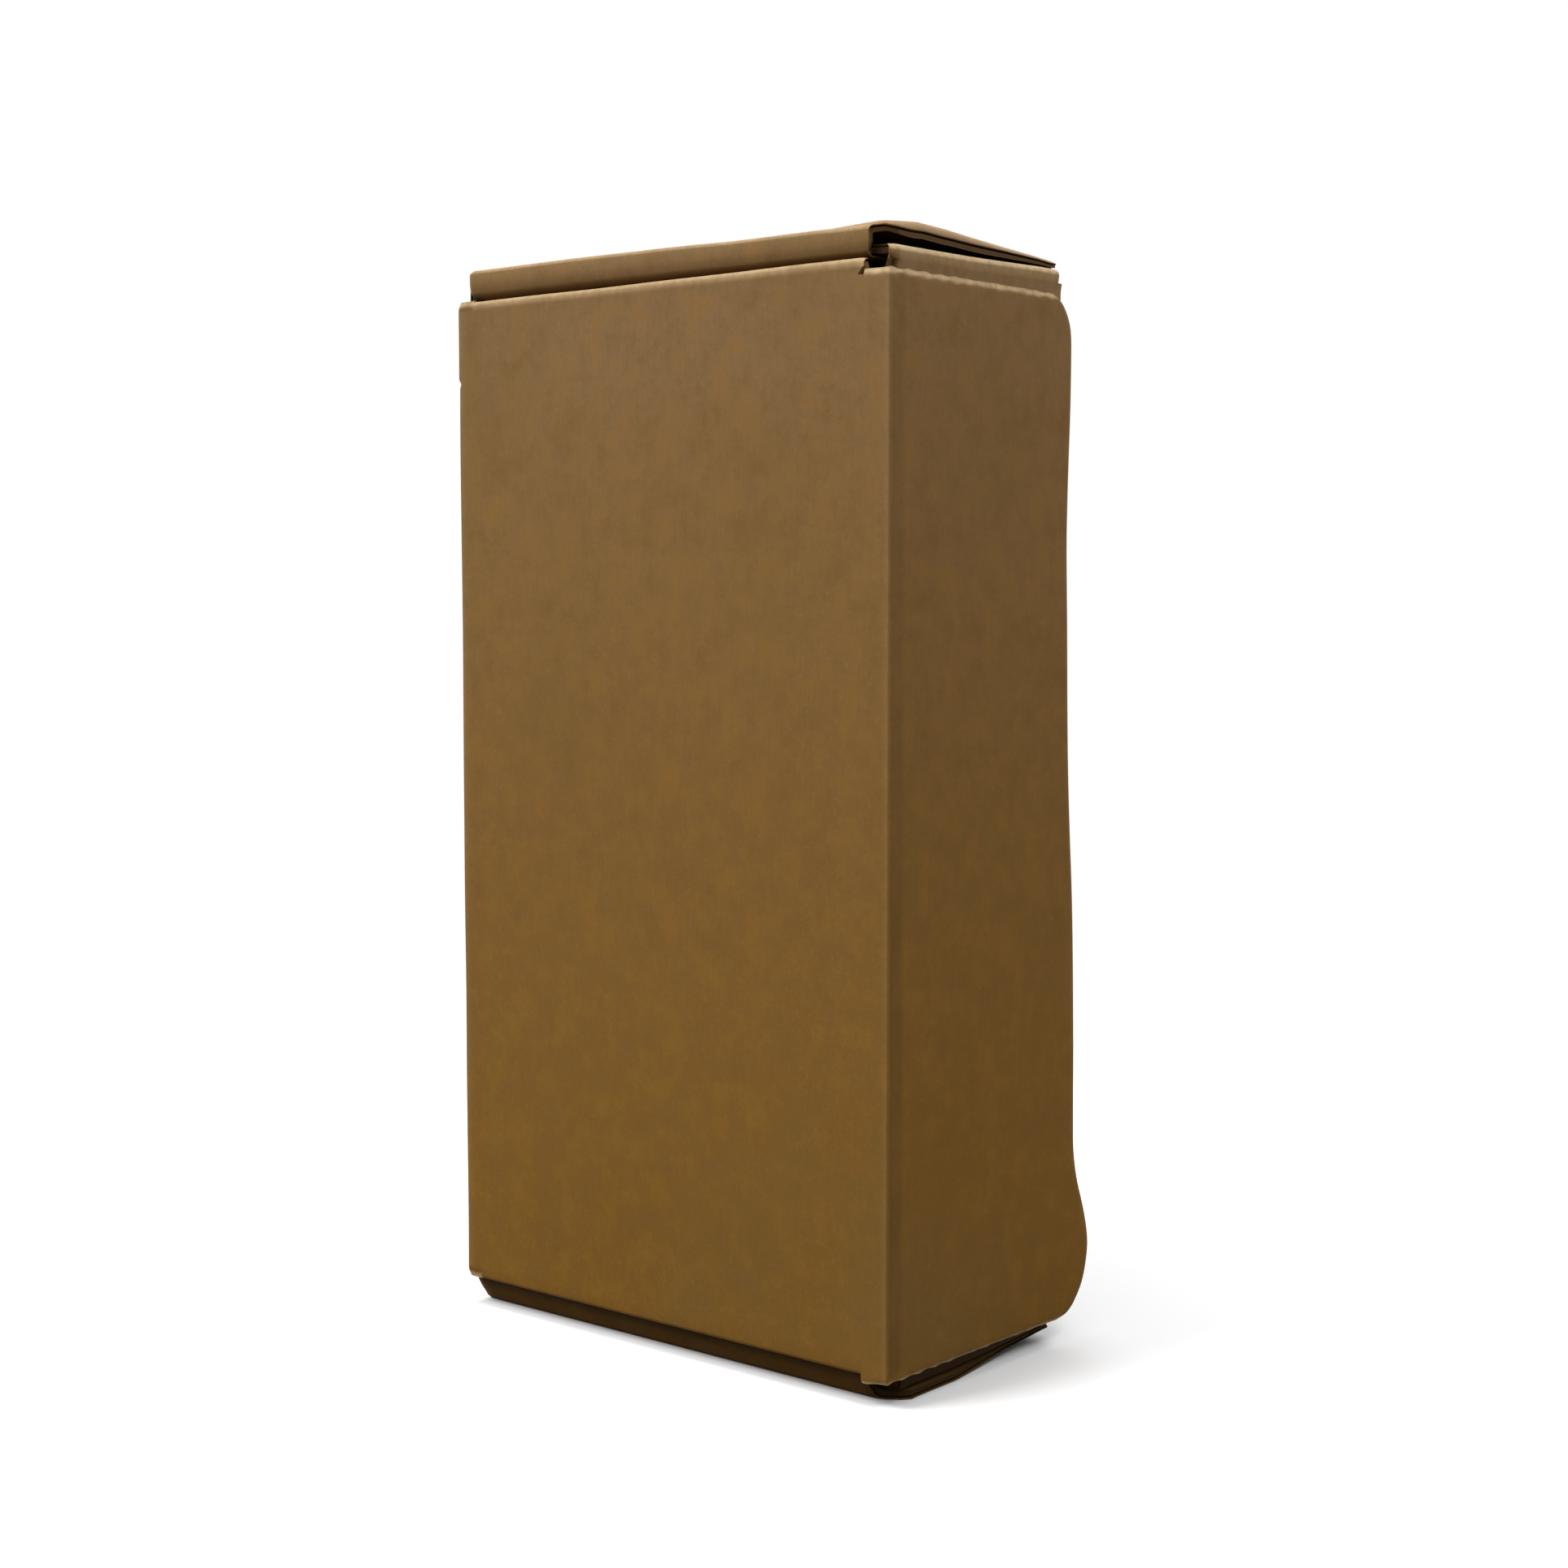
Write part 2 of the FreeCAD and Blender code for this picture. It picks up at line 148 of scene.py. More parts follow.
def arc_line(line, radii, spots, count=6):
    """A line with arcs at its corners and the same number of points on each part whatever the radii."""
    out, here = [], line[0]
    for i in range(1, len(line) - 1):
        before, after = unit(line[i - 1] - line[i]), unit(line[i + 1] - line[i])
        half = math.acos(np.clip(before @ after, -1, 1)) / 2
        first, last = (line[i] + way * radii[i] / math.tan(half) for way in (before, after))
        centre = line[i] + unit(before + after) * (radii[i] / math.sin(half))
        out += [here + (first - here) * share for share in spots[i - 1]]
        a, b = first - centre, last - centre
        angle = math.atan2(a[0] * b[1] - a[1] * b[0], a @ b)
        for k in range(count):
            t = angle * k / count
            out.append(centre + np.array([a[0] * math.cos(t) - a[1] * math.sin(t),
                                          a[0] * math.sin(t) + a[1] * math.cos(t)]))
        here = last
    out += [here + (line[-1] - here) * share for share in spots[-1]]
    return np.array(out + [line[-1]])


def fold_lines(points, radii, step, extra=None):
    """Outer and inner line of a folded board; radii are the folds' outer radii, the inner ones are tight."""
    points = np.array(points, float)
    last = len(points) - 2
    lengths = np.linalg.norm(np.diff(points, axis=0), axis=1)
    spots = [marks_along(length, step, i == 0, i == last) for i, length in enumerate(lengths)]
    for i, more in (extra or {}).items():
        apart = [m for m in spots[i] if np.min(np.abs(np.array(more) - m)) > 0.004]
        spots[i] = sorted(apart + list(more))
    inner_radii = [max(radius - BOARD, TIGHT) for radius in radii]
    outer = arc_line(offset_line(points, HALF), radii, spots)
    return outer, arc_line(offset_line(points, -HALF), inner_radii, spots)


def shares(width, step):
    """Positions across a board, 0 to 1, closer together behind both edges."""
    clear = EDGE_STEPS[-1] + step / 2
    marks = [m for m in np.arange(0, width, step) if clear < m < width - EDGE_STEPS[-1] - step / 2]
    marks = list(EDGE_STEPS) + marks + [width - m for m in EDGE_STEPS[::-1]]
    return np.array(sorted(marks)) / width


def unit(vectors):
    """The vectors at length 1."""
    return vectors / np.maximum(np.linalg.norm(vectors, axis=-1, keepdims=True), 1e-9)


def line_normals(line):
    """For each point of a line, the way to its right."""
    ahead = unit(np.gradient(line, axis=0))
    return np.stack([ahead[:, 1], -ahead[:, 0]], axis=1)


def run_length(line):
    """For each point of a line, how far it lies along it."""
    return np.concatenate([[0], np.cumsum(np.linalg.norm(np.diff(line, axis=0), axis=1))])


def ramp(value, low, high):
    """A smooth rise from 0 at low to 1 at high."""
    t = np.clip((value - low) / (high - low), 0, 1)
    return t * t * (3 - 2 * t)


def bump_at(value, middle, width):
    """A soft bump that is 1 at middle."""
    return np.exp(-((value - middle) / width) ** 2)


def waves(points, size, seed):
    """Slow smooth noise for each point, about -1 to 1, with features of the given size."""
    shift = Vector((seed * 7.3, seed * 3.1, seed * 5.7))
    flat_points = np.asarray(points, float).reshape(-1, 3)
    values = np.array([noise.noise(Vector(p) / size + shift) for p in flat_points])
    return values.reshape(np.shape(points)[:-1])


def scallops(across, seed=0.0):
    """The flutes' mark along a pressed edge, -1 to 1, not quite regular."""
    return (0.5 * np.cos(across * (2 * math.pi / FLUTE) + seed + 0.9 * np.sin(across * 0.17))
            + 0.6 * np.sin(across * 0.61 + 2.1 * seed) * np.sin(across * 0.23 + seed))


# First and second axis of the plane that a sheet is folded in, and the axis that it runs along
PLANES = {"YZ": (1, 2, 0), "XZ": (0, 2, 1), "XY": (0, 1, 2)}


class Board:
    """Collects the closed sheets of one piece, then makes one object of them."""

    def __init__(self, name):
        self.name = name
        self.points, self.faces, self.uvs, self.tones = [], [], [], []
        self.count = 0

    def grid(self, points, uv, tone):
        """Adds a grid of points; returns their indices."""
        rows, columns = points.shape[:2]
        index = np.arange(rows * columns).reshape(rows, columns) + self.count
        self.points.append(points.reshape(-1, 3))
        self.uvs.append(np.broadcast_to(uv, points.shape[:2] + (2,)).reshape(-1, 2))
        self.tones.append(np.broadcast_to(tone, points.shape[:2]).reshape(-1))
        self.count += rows * columns
        return index

    def quads(self, index, keep=None):
        """Faces between the neighbours in a grid of indices."""
        a, b, c, d = index[:-1, :-1], index[1:, :-1], index[1:, 1:], index[:-1, 1:]
        cells = np.stack([a, b, c, d], axis=-1)
        self.faces.append(cells.reshape(-1, 4) if keep is None else cells[keep])

    def skins(self, top, bottom, uv, tone, open_rows=(), groove=(None, None), keep=None):
        """A closed board between two skins.

        open_rows names the row ends (0, 1) with open flutes, groove gives for each column end how far its cut edge
        is open, row by row, and keep marks the cells that aren't cut out.
        """
        tone = np.broadcast_to(tone, top.shape[:2])
        upper = self.grid(top, uv, tone)
        lower = self.grid(bottom, uv, np.clip(tone, -0.78, 0.4))
        self.quads(upper, keep)
        self.quads(lower[:, ::-1], None if keep is None else keep[:, ::-1])
        if keep is not None:
            self.hole_sides(upper, lower, keep)
        middle = (top + bottom) / 2
        for side, row, inner in ((0, 0, 4), (1, -1, -5)):
            if side in open_rows:
                inward = unit(middle[inner] - middle[row])
                self.open_edge(top[row], bottom[row], inward, uv[row], upper[row], lower[row])
            else:
                self.quads(np.stack([upper[row], lower[row]]))
        for side, column, inner in ((0, 0, 4), (1, -1, -5)):
            if groove[side] is not None:
                inward = unit(middle[:, inner] - middle[:, column])
                self.cut_edge(top[:, column], bottom[:, column], inward, uv[:, column], groove[side],
                              upper[:, column], lower[:, column], tone[:, column])
            else:
                self.quads(np.stack([upper[:, column], lower[:, column]]))

    def hole_sides(self, upper, lower, keep):
        """Walls round the cells that are cut out."""
        rows, columns = keep.shape
        for i in range(rows):
            for j in range(columns):
                if keep[i, j]:
                    continue
                for di, dj, a, b in ((-1, 0, (i, j), (i, j + 1)), (1, 0, (i + 1, j), (i + 1, j + 1)),
                                     (0, -1, (i, j), (i + 1, j)), (0, 1, (i, j + 1), (i + 1, j + 1))):
                    if keep[i + di, j + dj]:
                        self.faces.append(np.array([[upper[a], upper[b], lower[b], lower[a]]]))

    def cut_edge(self, top, bottom, inward, uv, opened, upper, lower, skin_tone):
        """A cut along the flutes: outer liner pressed over the edge, a slit with painted shade and the inner liner's
        lip.

        Each row of the profile gives the share of the thickness, the depth and the tone; the tone paints a highlight
        on the pressed liner and shade in the slit and on the lip, and a skin's painted shade carries on into the
        edge.
        """
        down = bottom - top
        profile = ((0.12, 0.0, 0.3), (0.18, 1.5, -1.0), (0.36, 1.5, -1.0), (0.42, 0.3, -0.15), (0.97, 0.2, -0.2))
        opened = np.broadcast_to(opened, len(top))
        points = np.stack([top + down * share + inward * (deep * opened)[:, None] for share, deep, _ in profile])
        tone = np.stack([tone * opened + np.minimum(skin_tone, 0) for _, _, tone in profile])
        ring = self.grid(points, uv, tone)
        self.quads(np.stack([upper, ring[0]]))
        self.quads(ring)
        self.quads(np.stack([ring[-1], lower]))

    def open_edge(self, top, bottom, inward, uv, upper, lower):
        """Liners, hollow and wavy paper of an edge that is cut across the flutes."""
        thick = np.linalg.norm(top - bottom, axis=1, keepdims=True)
        lift = (top - bottom) / thick
        liner = np.minimum(LINER, thick * 0.25)
        roof, floor = top - lift * liner, bottom + lift * liner
        deep = inward * OPEN_DEEP
        # Pale cut liners, and painted shade in the hollow between them.
        tone = np.array([0.6, -0.9, -0.9, 0.5])[:, None]
        ring = self.grid(np.stack([roof, roof + deep, floor + deep, floor]), uv, tone)
        self.quads(np.stack([upper, ring[0]]))
        self.quads(ring)
        self.quads(np.stack([ring[3], lower]))
        across = run_length((top + bottom) / 2)
        marks = np.arange(0.2, across[-1] - 0.2, FLUTE / 12)

        def at_marks(field):
            return np.stack([np.interp(marks, across, field[:, k]) for k in range(3)], axis=1)

        roof, floor, into = at_marks(roof), at_marks(floor), at_marks(inward)
        span = roof - floor
        high = np.linalg.norm(span, axis=1)
        share = 0.5 + (0.5 - 0.14 / high) * np.sin(marks * (2 * math.pi / FLUTE))
        spine = floor + span * share[:, None]
        side = span / high[:, None] - unit(np.gradient(floor, axis=0)) * np.gradient(share * high, marks)[:, None]
        side = unit(side) * 0.13
        start, end = into * 0.15, into * (OPEN_DEEP - 0.1)
        paper = np.stack([spine + side + start, spine + side + end, spine - side + end, spine - side + start])
        loop = self.grid(paper, np.stack([marks, marks * 0], axis=1) * MM, 0.3)
        self.quads(np.concatenate([loop, loop[:1]]))
        self.faces.append(np.array([loop[:, 0], loop[:, -1]]))

    def build(self):
        """Makes one object with the run along the flutes as UV and the tone as an attribute."""
        mesh = bpy.data.meshes.new(self.name)
        faces = [[int(v) for v in face] for block in self.faces for face in block]
        mesh.from_pydata((np.concatenate(self.points) * MM).tolist(), [], faces)
        uv = np.concatenate(self.uvs)
        layer = mesh.uv_layers.new(name="flutes")
        corners = np.empty(len(mesh.loops), np.int32)
        mesh.loops.foreach_get("vertex_index", corners)
        layer.data.foreach_set("uv", uv[corners].ravel())
        tone = mesh.attributes.new("tone", "FLOAT", "POINT")
        tone.data.foreach_set("value", np.concatenate(self.tones).astype(np.float32))
        tidy = bmesh.new()
        tidy.from_mesh(mesh)
        bmesh.ops.recalc_face_normals(tidy, faces=tidy.faces)
        tidy.to_mesh(mesh)
        tidy.free()
        piece = bpy.data.objects.new(self.name, mesh)
        bpy.context.scene.collection.objects.link(piece)
        for polygon in mesh.polygons:
            polygon.use_smooth = True
        mesh.set_sharp_from_angle(angle=math.radians(38))
        return piece


def folded(board, plane, points, radii, low, high, cut_ends=(True, True), step=4.0, columns=4.0, thin=0.0,
           open_rows=(), flutes_across=True, fold_tone=0.0, sides=(0.0, 0.0), marks=(), bend=None, cut_out=None,
           shade=None):
    """A sheet folded along a line in one plane, running along the third axis from low(point) to high(point).

    radii is None where points already holds the outer and inner line. thin takes a little off both skins, and
    cut_ends says which ends of the line are cut. sides gives how far the two side edges are cut edges, as numbers or
    functions of the line's points. marks are positions along the third axis that get a column of their own. shade
    adds painted light and shade to the tone, and bend moves the finished points.
    """
    first, second, third = PLANES[plane]
    outer, inner = fold_lines(points, radii, step) if radii is not None else points
    line = (outer + inner) / 2
    run = run_length(outer)
    lows = np.array([low(p) for p in line])
    highs = np.array([high(p) for p in line])
    share = shares(np.max(highs - lows), columns)
    if len(marks):
        base = int(np.argmax(highs - lows))
        wanted = (np.array(marks) - lows[base]) / (highs[base] - lows[base])
        near = np.min(np.abs(share[:, None] - wanted[None, :]), axis=1)
        share = np.sort(np.concatenate([share[near > 0.35 * columns / (highs[base] - lows[base])], wanted]))
    spots = lows[:, None] + (highs - lows)[:, None] * share[None, :]
    top, bottom = np.zeros(spots.shape + (3,)), np.zeros(spots.shape + (3,))
    for skin, edge in ((top, outer), (bottom, inner)):
        skin[..., first] = edge[:, 0][:, None]
        skin[..., second] = edge[:, 1][:, None]
        skin[..., third] = spots
    runs = np.broadcast_to(run[:, None], spots.shape)
    uv = np.stack([spots, runs] if flutes_across else [runs, spots], axis=-1) * MM
    squeeze = np.zeros(spots.shape)
    tone = np.zeros(spots.shape)
    # Pale bands behind cut ends and side edges: pressed liner with a painted highlight where it faces the light.
    for on, gap in ((cut_ends[0], runs), (cut_ends[1], run[-1] - runs)):
        if on:
            mark = scallops(spots) if flutes_across else 0.0
            squeeze = np.maximum(squeeze, 0.3 * np.exp(-(gap / 1.3) ** 2) * (1 + 0.7 * mark))
            tone = np.maximum(tone, 0.7 * np.exp(-(gap / 0.8) ** 2))
    openings = []
    for side, gap in zip(sides, (spots - lows[:, None], highs[:, None] - spots)):
        opened = np.array([side(p) for p in line]) if callable(side) else np.full(len(line), float(side))
        openings.append(opened if opened.any() else None)
        squeeze = np.maximum(squeeze, opened[:, None] * 0.2 * np.exp(-(gap / 1.2) ** 2))
        tone = np.maximum(tone, opened[:, None] * 0.3 * np.exp(-(gap / 0.6) ** 2))
    turn = np.linalg.norm(np.gradient(line_normals(outer), axis=0), axis=1) / np.maximum(np.gradient(run), 1e-6)
    # Fold tone: rubbed pale wear, with a painted highlight on folds that face up and painted shade where fold_tone is
    # below 0.
    paler = np.array([fold_tone(p) for p in line]) if callable(fold_tone) else fold_tone
    fold_wear_and_light = (paler * np.clip(turn * 2.5, 0, 1))[:, None] * (0.85 + 0.3 * waves(top, 14, 9))
    tone = np.where(np.abs(fold_wear_and_light) > tone, fold_wear_and_light, tone)
    # shade paints light and shade; where it paints shade, the paler tones there are dropped.
    if shade is not None:
        added = shade(top)
        tone = np.where(added < -0.3, np.minimum(tone, 0), tone) + added
    centre = (top + bottom) / 2
    keep = cut_out(centre) if cut_out else None
    scale = ((1 - thin / HALF) * (1 - squeeze))[..., None]
    top, bottom = centre + (top - centre) * scale, centre + (bottom - centre) * scale
    if bend is not None:
        top, bottom = bend(top), bend(bottom)
    board.skins(top, bottom, uv, tone, open_rows, openings, keep)


def flat(value):
    """A side that is the same for every point."""
    return lambda point: value


# Tray

# Wear of the tray as curves, places and then changes: the top panel's rise along its front fold and along its depth,
# how far its edge at the front wall is pressed down, how far the bottom panel's near edge is flared, and how far the
# front wall's top fold hangs
CROWN_ALONG = (0, 10, 45, 77, 108, 137, 153, 165), (0.1, 0.1, 0.3, 0.0, -0.45, -0.5, -0.7, -0.2)
CROWN_ACROSS = (0, 3, 9, 20, 32, 45, 60, 85), (-0.2, 0.2, 1.9, 3.2, 3.1, 2.4, 1.7, 0.8)
PRESSED = (0, 2.5, 5, 9, 14, 22, 30, 41, 57, 73, 85), (0.0, 0.5, 1.5, 3.1, 4.2, 4.8, 4.9, 4.3, 3.1, 2.3, 2.3)
FLARED = (6.5, 8.5, 11, 14, 34, 60), (0.0, 2.6, 3.0, 2.1, 2.0, 0.0)
WALL_SAG = (5, 30, 44, 63, 76, 85), (1.1, 1.0, 0.9, 0.5, 0.2, 0.4)


def crush(points):
    """The bottom corner at the base and the front wall, pushed up."""
    x, y, z = np.moveaxis(points, -1, 0)
    corner = (np.clip((x - (WALL_FACE - CRUSH_WIDE)) / CRUSH_WIDE, 0, 1)
              * np.clip((y - (BACK - CRUSH_DEEP)) / CRUSH_DEEP, 0, 1))
    out = points.copy()
    outer_board = ramp(-z, -2.6, -0.2)
    out[..., 2] += corner * (CRUSH_RISE * outer_board + CRUSH_TAB * ramp(-z, -12, -2.6) * (1 - outer_board))
    return out


def bend_spine(points):
    """Crushed corner, uneven top with its side edge pressed down, leaning strips and a base that isn't quite flat."""
    out = crush(points)
    x, y, z = np.moveaxis(points, -1, 0)
    crown = ramp(z, TOP - 9.5, TOP - 5)
    depth = y - FRONT
    along = np.interp(x - LEFT, *CROWN_ALONG)
    across = np.interp(depth, *CROWN_ACROSS)
    out[..., 2] += crown * (along * ramp(-depth, -14, -3) + across * ramp(x, 35, 74))
    out[..., 2] += crown * waves(points * [1, 0.3, 0], 26, 1) * 0.18
    pressed = np.interp(depth, *PRESSED)
    near_side = np.clip((x - (WALL_FACE - 6.0)) / 6.0, 0, 1) ** 1.7
    out[..., 2] -= ramp(z, TOP - 5.5, TOP - 3.5) * pressed * near_side
    strip = ramp(-depth, -7.0, -4.5)
    out[..., 1] += strip * 0.9 * ramp(-z, -(TOP - 5.6), -(TOP - 8.6)) * (z > 150)
    low_strip = ramp(-depth, -11.0, -9.0) * ramp(z, 0.8, 6.5) * (z < 150)
    out[..., 1] -= low_strip * 1.8
    out[..., 0] -= low_strip * 2.0 * ramp(-x, -(LEFT + 8), -(LEFT + 3))
    flared = np.interp(depth, *FLARED)
    out[..., 0] += flared * ramp(-z, -4.0, -3.0) * ramp(x, WALL_FACE - 12, WALL_FACE - 4)
    inside = ramp(x, LEFT + 4, LEFT + 25) * ramp(-x, -(WALL_FACE - 4), -(WALL_FACE - 25))
    tall = ramp(z, 14, 40) * ramp(-z, -(TOP - 14), -(TOP - 40))
    out[..., 1] += np.where(y > BASE_INSIDE - 0.1, waves(points, 70, 2) * 0.3 * tall * inside, 0)
    return out


def bend_front_wall(points):
    """The front wall's top fold sags beside the lid and its free corner reaches forward."""
    out = points.copy()
    x, y, z = np.moveaxis(points, -1, 0)
    drop = np.interp(y - FRONT, *WALL_SAG)
    near_face = ramp(x, WALL_FACE - 14, WALL_FACE - 4)
    out[..., 2] -= drop * ramp(z, TAB_TOP - 22, TAB_TOP - 3) * near_face
    edge = ramp(-y, 34.5, 37.2) * ramp(z, 308.5, 311.5) * ramp(x, WALL_FACE - 2.2, WALL_FACE - 0.8)
    out[..., 1] -= 2.3 * edge
    out[..., 0] += 0.7 * ramp(z, TAB_TOP - 7, TAB_TOP - 1.5) * near_face
    out[..., 0] -= 0.4 * edge + 0.9 * ramp(-y, 34.5, 37.2) * ramp(z, 300, 304) * ramp(-z, -310.5, -308)
    out[..., 0] += (waves(points, 60, 6) * 0.25 - 0.2) * ramp(z, 20, 50) * ramp(-z, -300, -270) * ramp(x, 60, 75)
    return out


def bend_hinge_wall(points):
    """The hinge wall isn't quite flat."""
    out = points.copy()
    x, y, z = np.moveaxis(points, -1, 0)
    sides = ramp(z, 14, 40) * ramp(-z, -(TOP - 14), -(TOP - 40)) * ramp(y, FRONT + 8, FRONT + 30) * ramp(-y, -38, -20)
    out[..., 0] += np.where(x < LEFT + BOARD * 1.5, waves(points, 70, 2) * 0.35 * sides, 0)
    return out


def is_end_panel(point):
    """1 on the outer boards of the rolled ends, 0 on the base panel."""
    y, z = point
    if BOARD * 3 < z < TOP - 13:
        return 0.0
    return float(ramp(np.array(BACK - 3.0 - y), 0.0, 1.2)) + float(ramp(np.array(-y), 33.0, 36.0))


def slot_cells(middle):
    """Marks the cells of the spine that stay; the locking slots are cut out of the base panel."""
    centre = (middle[:-1, :-1] + middle[1:, 1:]) / 2
    keep = np.ones(centre.shape[:2], bool)
    for x_low, x_high in SLOTS:
        for z_low, z_high in slot_heights():
            keep &= ~((centre[..., 1] > BASE_INSIDE) & (centre[..., 0] > x_low - SLOT_PLAY)
                      & (centre[..., 0] < x_high + SLOT_PLAY) & (centre[..., 2] > z_low - SLOT_PLAY)
                      & (centre[..., 2] < z_high + SLOT_PLAY))
    return keep


def slot_heights():
    """Low and high end of the locking slots at the bottom and at the top."""
    inner_top = TOP - TOP_ROLL.thick - INNER_SINK
    return (2 * BOARD, BOTTOM_ROLL.thick), (inner_top, inner_top + BOARD)


def painted_strip_shade(points):
    """Painted shade in the joint under the top strip, on the top panel's pressed edge and all over the bottom strip.
    """
    x, y, z = np.moveaxis(points, -1, 0)
    top_joint = ramp(-z, -(TOP - 5.6), -(TOP - 8.6)) * (z > 150) * ramp(-y, 37.0, 38.5)
    low_strip = 0.55 + 0.4 * ramp(z, 3.6, 5.6) + 0.3 * ramp(-z, -1.4, -0.3)
    top_lip = ramp(z, TOP - 4.5, TOP - 3.0) * ramp(x, WALL_FACE - 2.2, WALL_FACE - 0.9)
    low = np.maximum(low_strip * ramp(-y, 30, 33), 0.82 * ramp(x, 66, 72))
    return -0.44 * top_joint - 0.56 * top_lip - (z < 9) * low


def painted_joint_shade_and_light(points):
    """Painted shade in the hollow at the top corner and in the joint under the flap, and painted light on the front
    wall above the flap, where the top panel shades it.
    """
    x, y, z = np.moveaxis(points, -1, 0)
    hollow = ramp(-y, 35.4, 36.8) * ramp(z, 300, 303) * ramp(-x, -(WALL_FACE - 0.4), -(WALL_FACE - 1.4))
    notch = ramp(-y, 35.0, 36.6) * ramp(z, 301, 304) * ramp(-z, -310.5, -308.5)
    # Painted light on the front wall above the flap, where the top panel shades it.
    painted_light_top = ramp(z, 294, 300) * ramp(y, FRONT + 6.5, FRONT + 8.5)
    return 0.22 * painted_light_top - 0.9 * np.maximum(hollow, notch) - ramp(-z, -10.5, -7.5)


def spine_side(point, wall, corner, low_side):
    """x of the spine's side: inset on the roll, out to the wall's face on the end panel, corner on the base."""
    y, z = point
    roll = BOTTOM_ROLL if z < 150 else TOP_ROLL
    inset = roll.start if low_side else roll.end
    if BOARD <= z <= TOP - TOP_SINK - BOARD - 0.4:
        if y > BACK - BOARD + 0.2:
            return corner
        return max(inset, LEFT + BOARD + 0.4) if low_side and y > roll.front + 4 else inset
    edge = roll.slanted(y, inset, wall)
    return edge + (corner - edge) * float(ramp(np.array(y), BACK - 2.4, BACK - 1.3))


def add_spine(tray):
    """Base panel and both rolled ends as one long board, with the locking slots cut out."""
    mid_back = BACK - HALF
    top_mid, low_mid = TOP_ROLL.front + HALF, BOTTOM_ROLL.front + HALF
    inner_low = BOTTOM_ROLL.thick - HALF
    inner_high = TOP - TOP_ROLL.thick + HALF
    spine = [
        (BASE_INSIDE - 0.3, inner_low), (low_mid, inner_low), (low_mid, HALF), (mid_back, HALF),
        (mid_back, TOP - TOP_SINK - HALF), (top_mid, TOP - HALF), (top_mid, inner_high),
        (BASE_INSIDE - 0.3, inner_high - INNER_SINK),
    ]
    outer, inner = fold_lines(spine, [0, 1.6, 1.8, 2.4, 2.4, 1.3, 2.2, 0], 2.5)
    for z_low, z_high in slot_heights():
        for mark in (z_low - SLOT_PLAY, z_high + SLOT_PLAY):
            base = np.where(outer[:, 0] > BACK - 0.01)[0]
            spot = base[np.argmin(np.abs(outer[base, 1] - mark))]
            outer[spot, 1] = inner[spot, 1] = mark
    slot_ends = [x + play for low, high in SLOTS for x, play in ((low, -SLOT_PLAY), (high, SLOT_PLAY))]
    lip_columns = [WALL_FACE - gap for gap in (1.0, 2.2, 3.6)]
    # Top folds paler than bottom ones: rubbed wear and a painted highlight of the light from above.
    folded(tray, "YZ", (outer, inner), None, lambda p: spine_side(p, LEFT + 1.0, LEFT + 3.0, True),
           lambda p: spine_side(p, WALL_FACE, WALL_FACE - 3.0, False), cut_ends=(False, False),
           fold_tone=lambda p: 0.45 if p[1] > TOP - 5 else 0.1, sides=(is_end_panel, is_end_panel),
           marks=slot_ends + lip_columns, bend=bend_spine, cut_out=slot_cells, shade=painted_strip_shade)


def add_tongues(tray):
    """The inner panels' tongues in the base panel's slots."""
    (low_slot, high_slot), ends = slot_heights(), (BASE_INSIDE - 6, BACK - 0.6)
    for x_low, x_high in SLOTS:
        for middle in (low_slot[1] - HALF, high_slot[0] + HALF):
            folded(tray, "YZ", [(ends[0], middle), (ends[1], middle)], [0, 0], flat(x_low), flat(x_high),
                   cut_ends=(False, True), open_rows=(1,), step=1.5, sides=(0.4, 0.4), thin=0.05)


def add_walls(tray):
    """Front wall and hinge wall, with the tabs that turn in between the boards of the rolled ends."""
    mid_back = BACK - HALF
    low, high = BOARD + WALL_BEND, TAB_TOP - WALL_BEND
    front_wall = [(WALL_FACE - HALF, WALL_EDGE), (WALL_FACE - HALF, mid_back), (WALL_FACE - 3.0, mid_back)]
    hinge_wall = [(LEFT + 3.0, mid_back), (LEFT + HALF, mid_back), (LEFT + HALF, HINGE_EDGE)]
    folded(tray, "XY", front_wall, [0, 1.6, 0], flat(low), flat(high), (True, False), flutes_across=False,
           fold_tone=0.2, bend=bend_front_wall, step=2.5, columns=3.0, shade=painted_joint_shade_and_light)
    folded(tray, "XY", hinge_wall, [0, 1.6, 0], flat(low), flat(high), (False, False), flutes_across=False,
           fold_tone=0.2, bend=bend_hinge_wall)
    front, hinge, low_edge = WALL_FACE - HALF, LEFT + HALF, BOTTOM_ROLL.front + BOARD * 1.5
    for corners, edge, bend in (
        ([(WALL_FACE - TAB_LONG, BOARD + HALF), (front, BOARD + HALF), (front, low)], low_edge, crush),
        ([(hinge, low), (hinge, BOARD + HALF), (LEFT + TAB_LONG, BOARD + HALF)], low_edge, None),
        ([(front, high), (front, TAB_TOP - HALF), (WALL_FACE - TAB_LONG, TAB_TOP - HALF)], WALL_EDGE,
         bend_front_wall),
        ([(LEFT + TAB_LONG, TAB_TOP - HALF), (hinge, TAB_TOP - HALF), (hinge, high)], HINGE_EDGE, None),
    ):
        # Pale tab folds: rubbed liner, and a painted highlight on the front wall's top fold, which the top panel
        # shades; the joint under the flap gets painted shade instead.
        folded(tray, "XZ", corners, [0, 1.9, 0], flat(edge), flat(BASE_INSIDE - 0.4), (False, False),
               thin=0.03, fold_tone=1.3, bend=bend, step=2.5, sides=(0.3, 0.0), shade=painted_joint_shade_and_light)


def make_tray():
    tray = Board("tray_board")
    add_spine(tray)
    add_tongues(tray)
    add_walls(tray)
    return tray.build()


# Lid

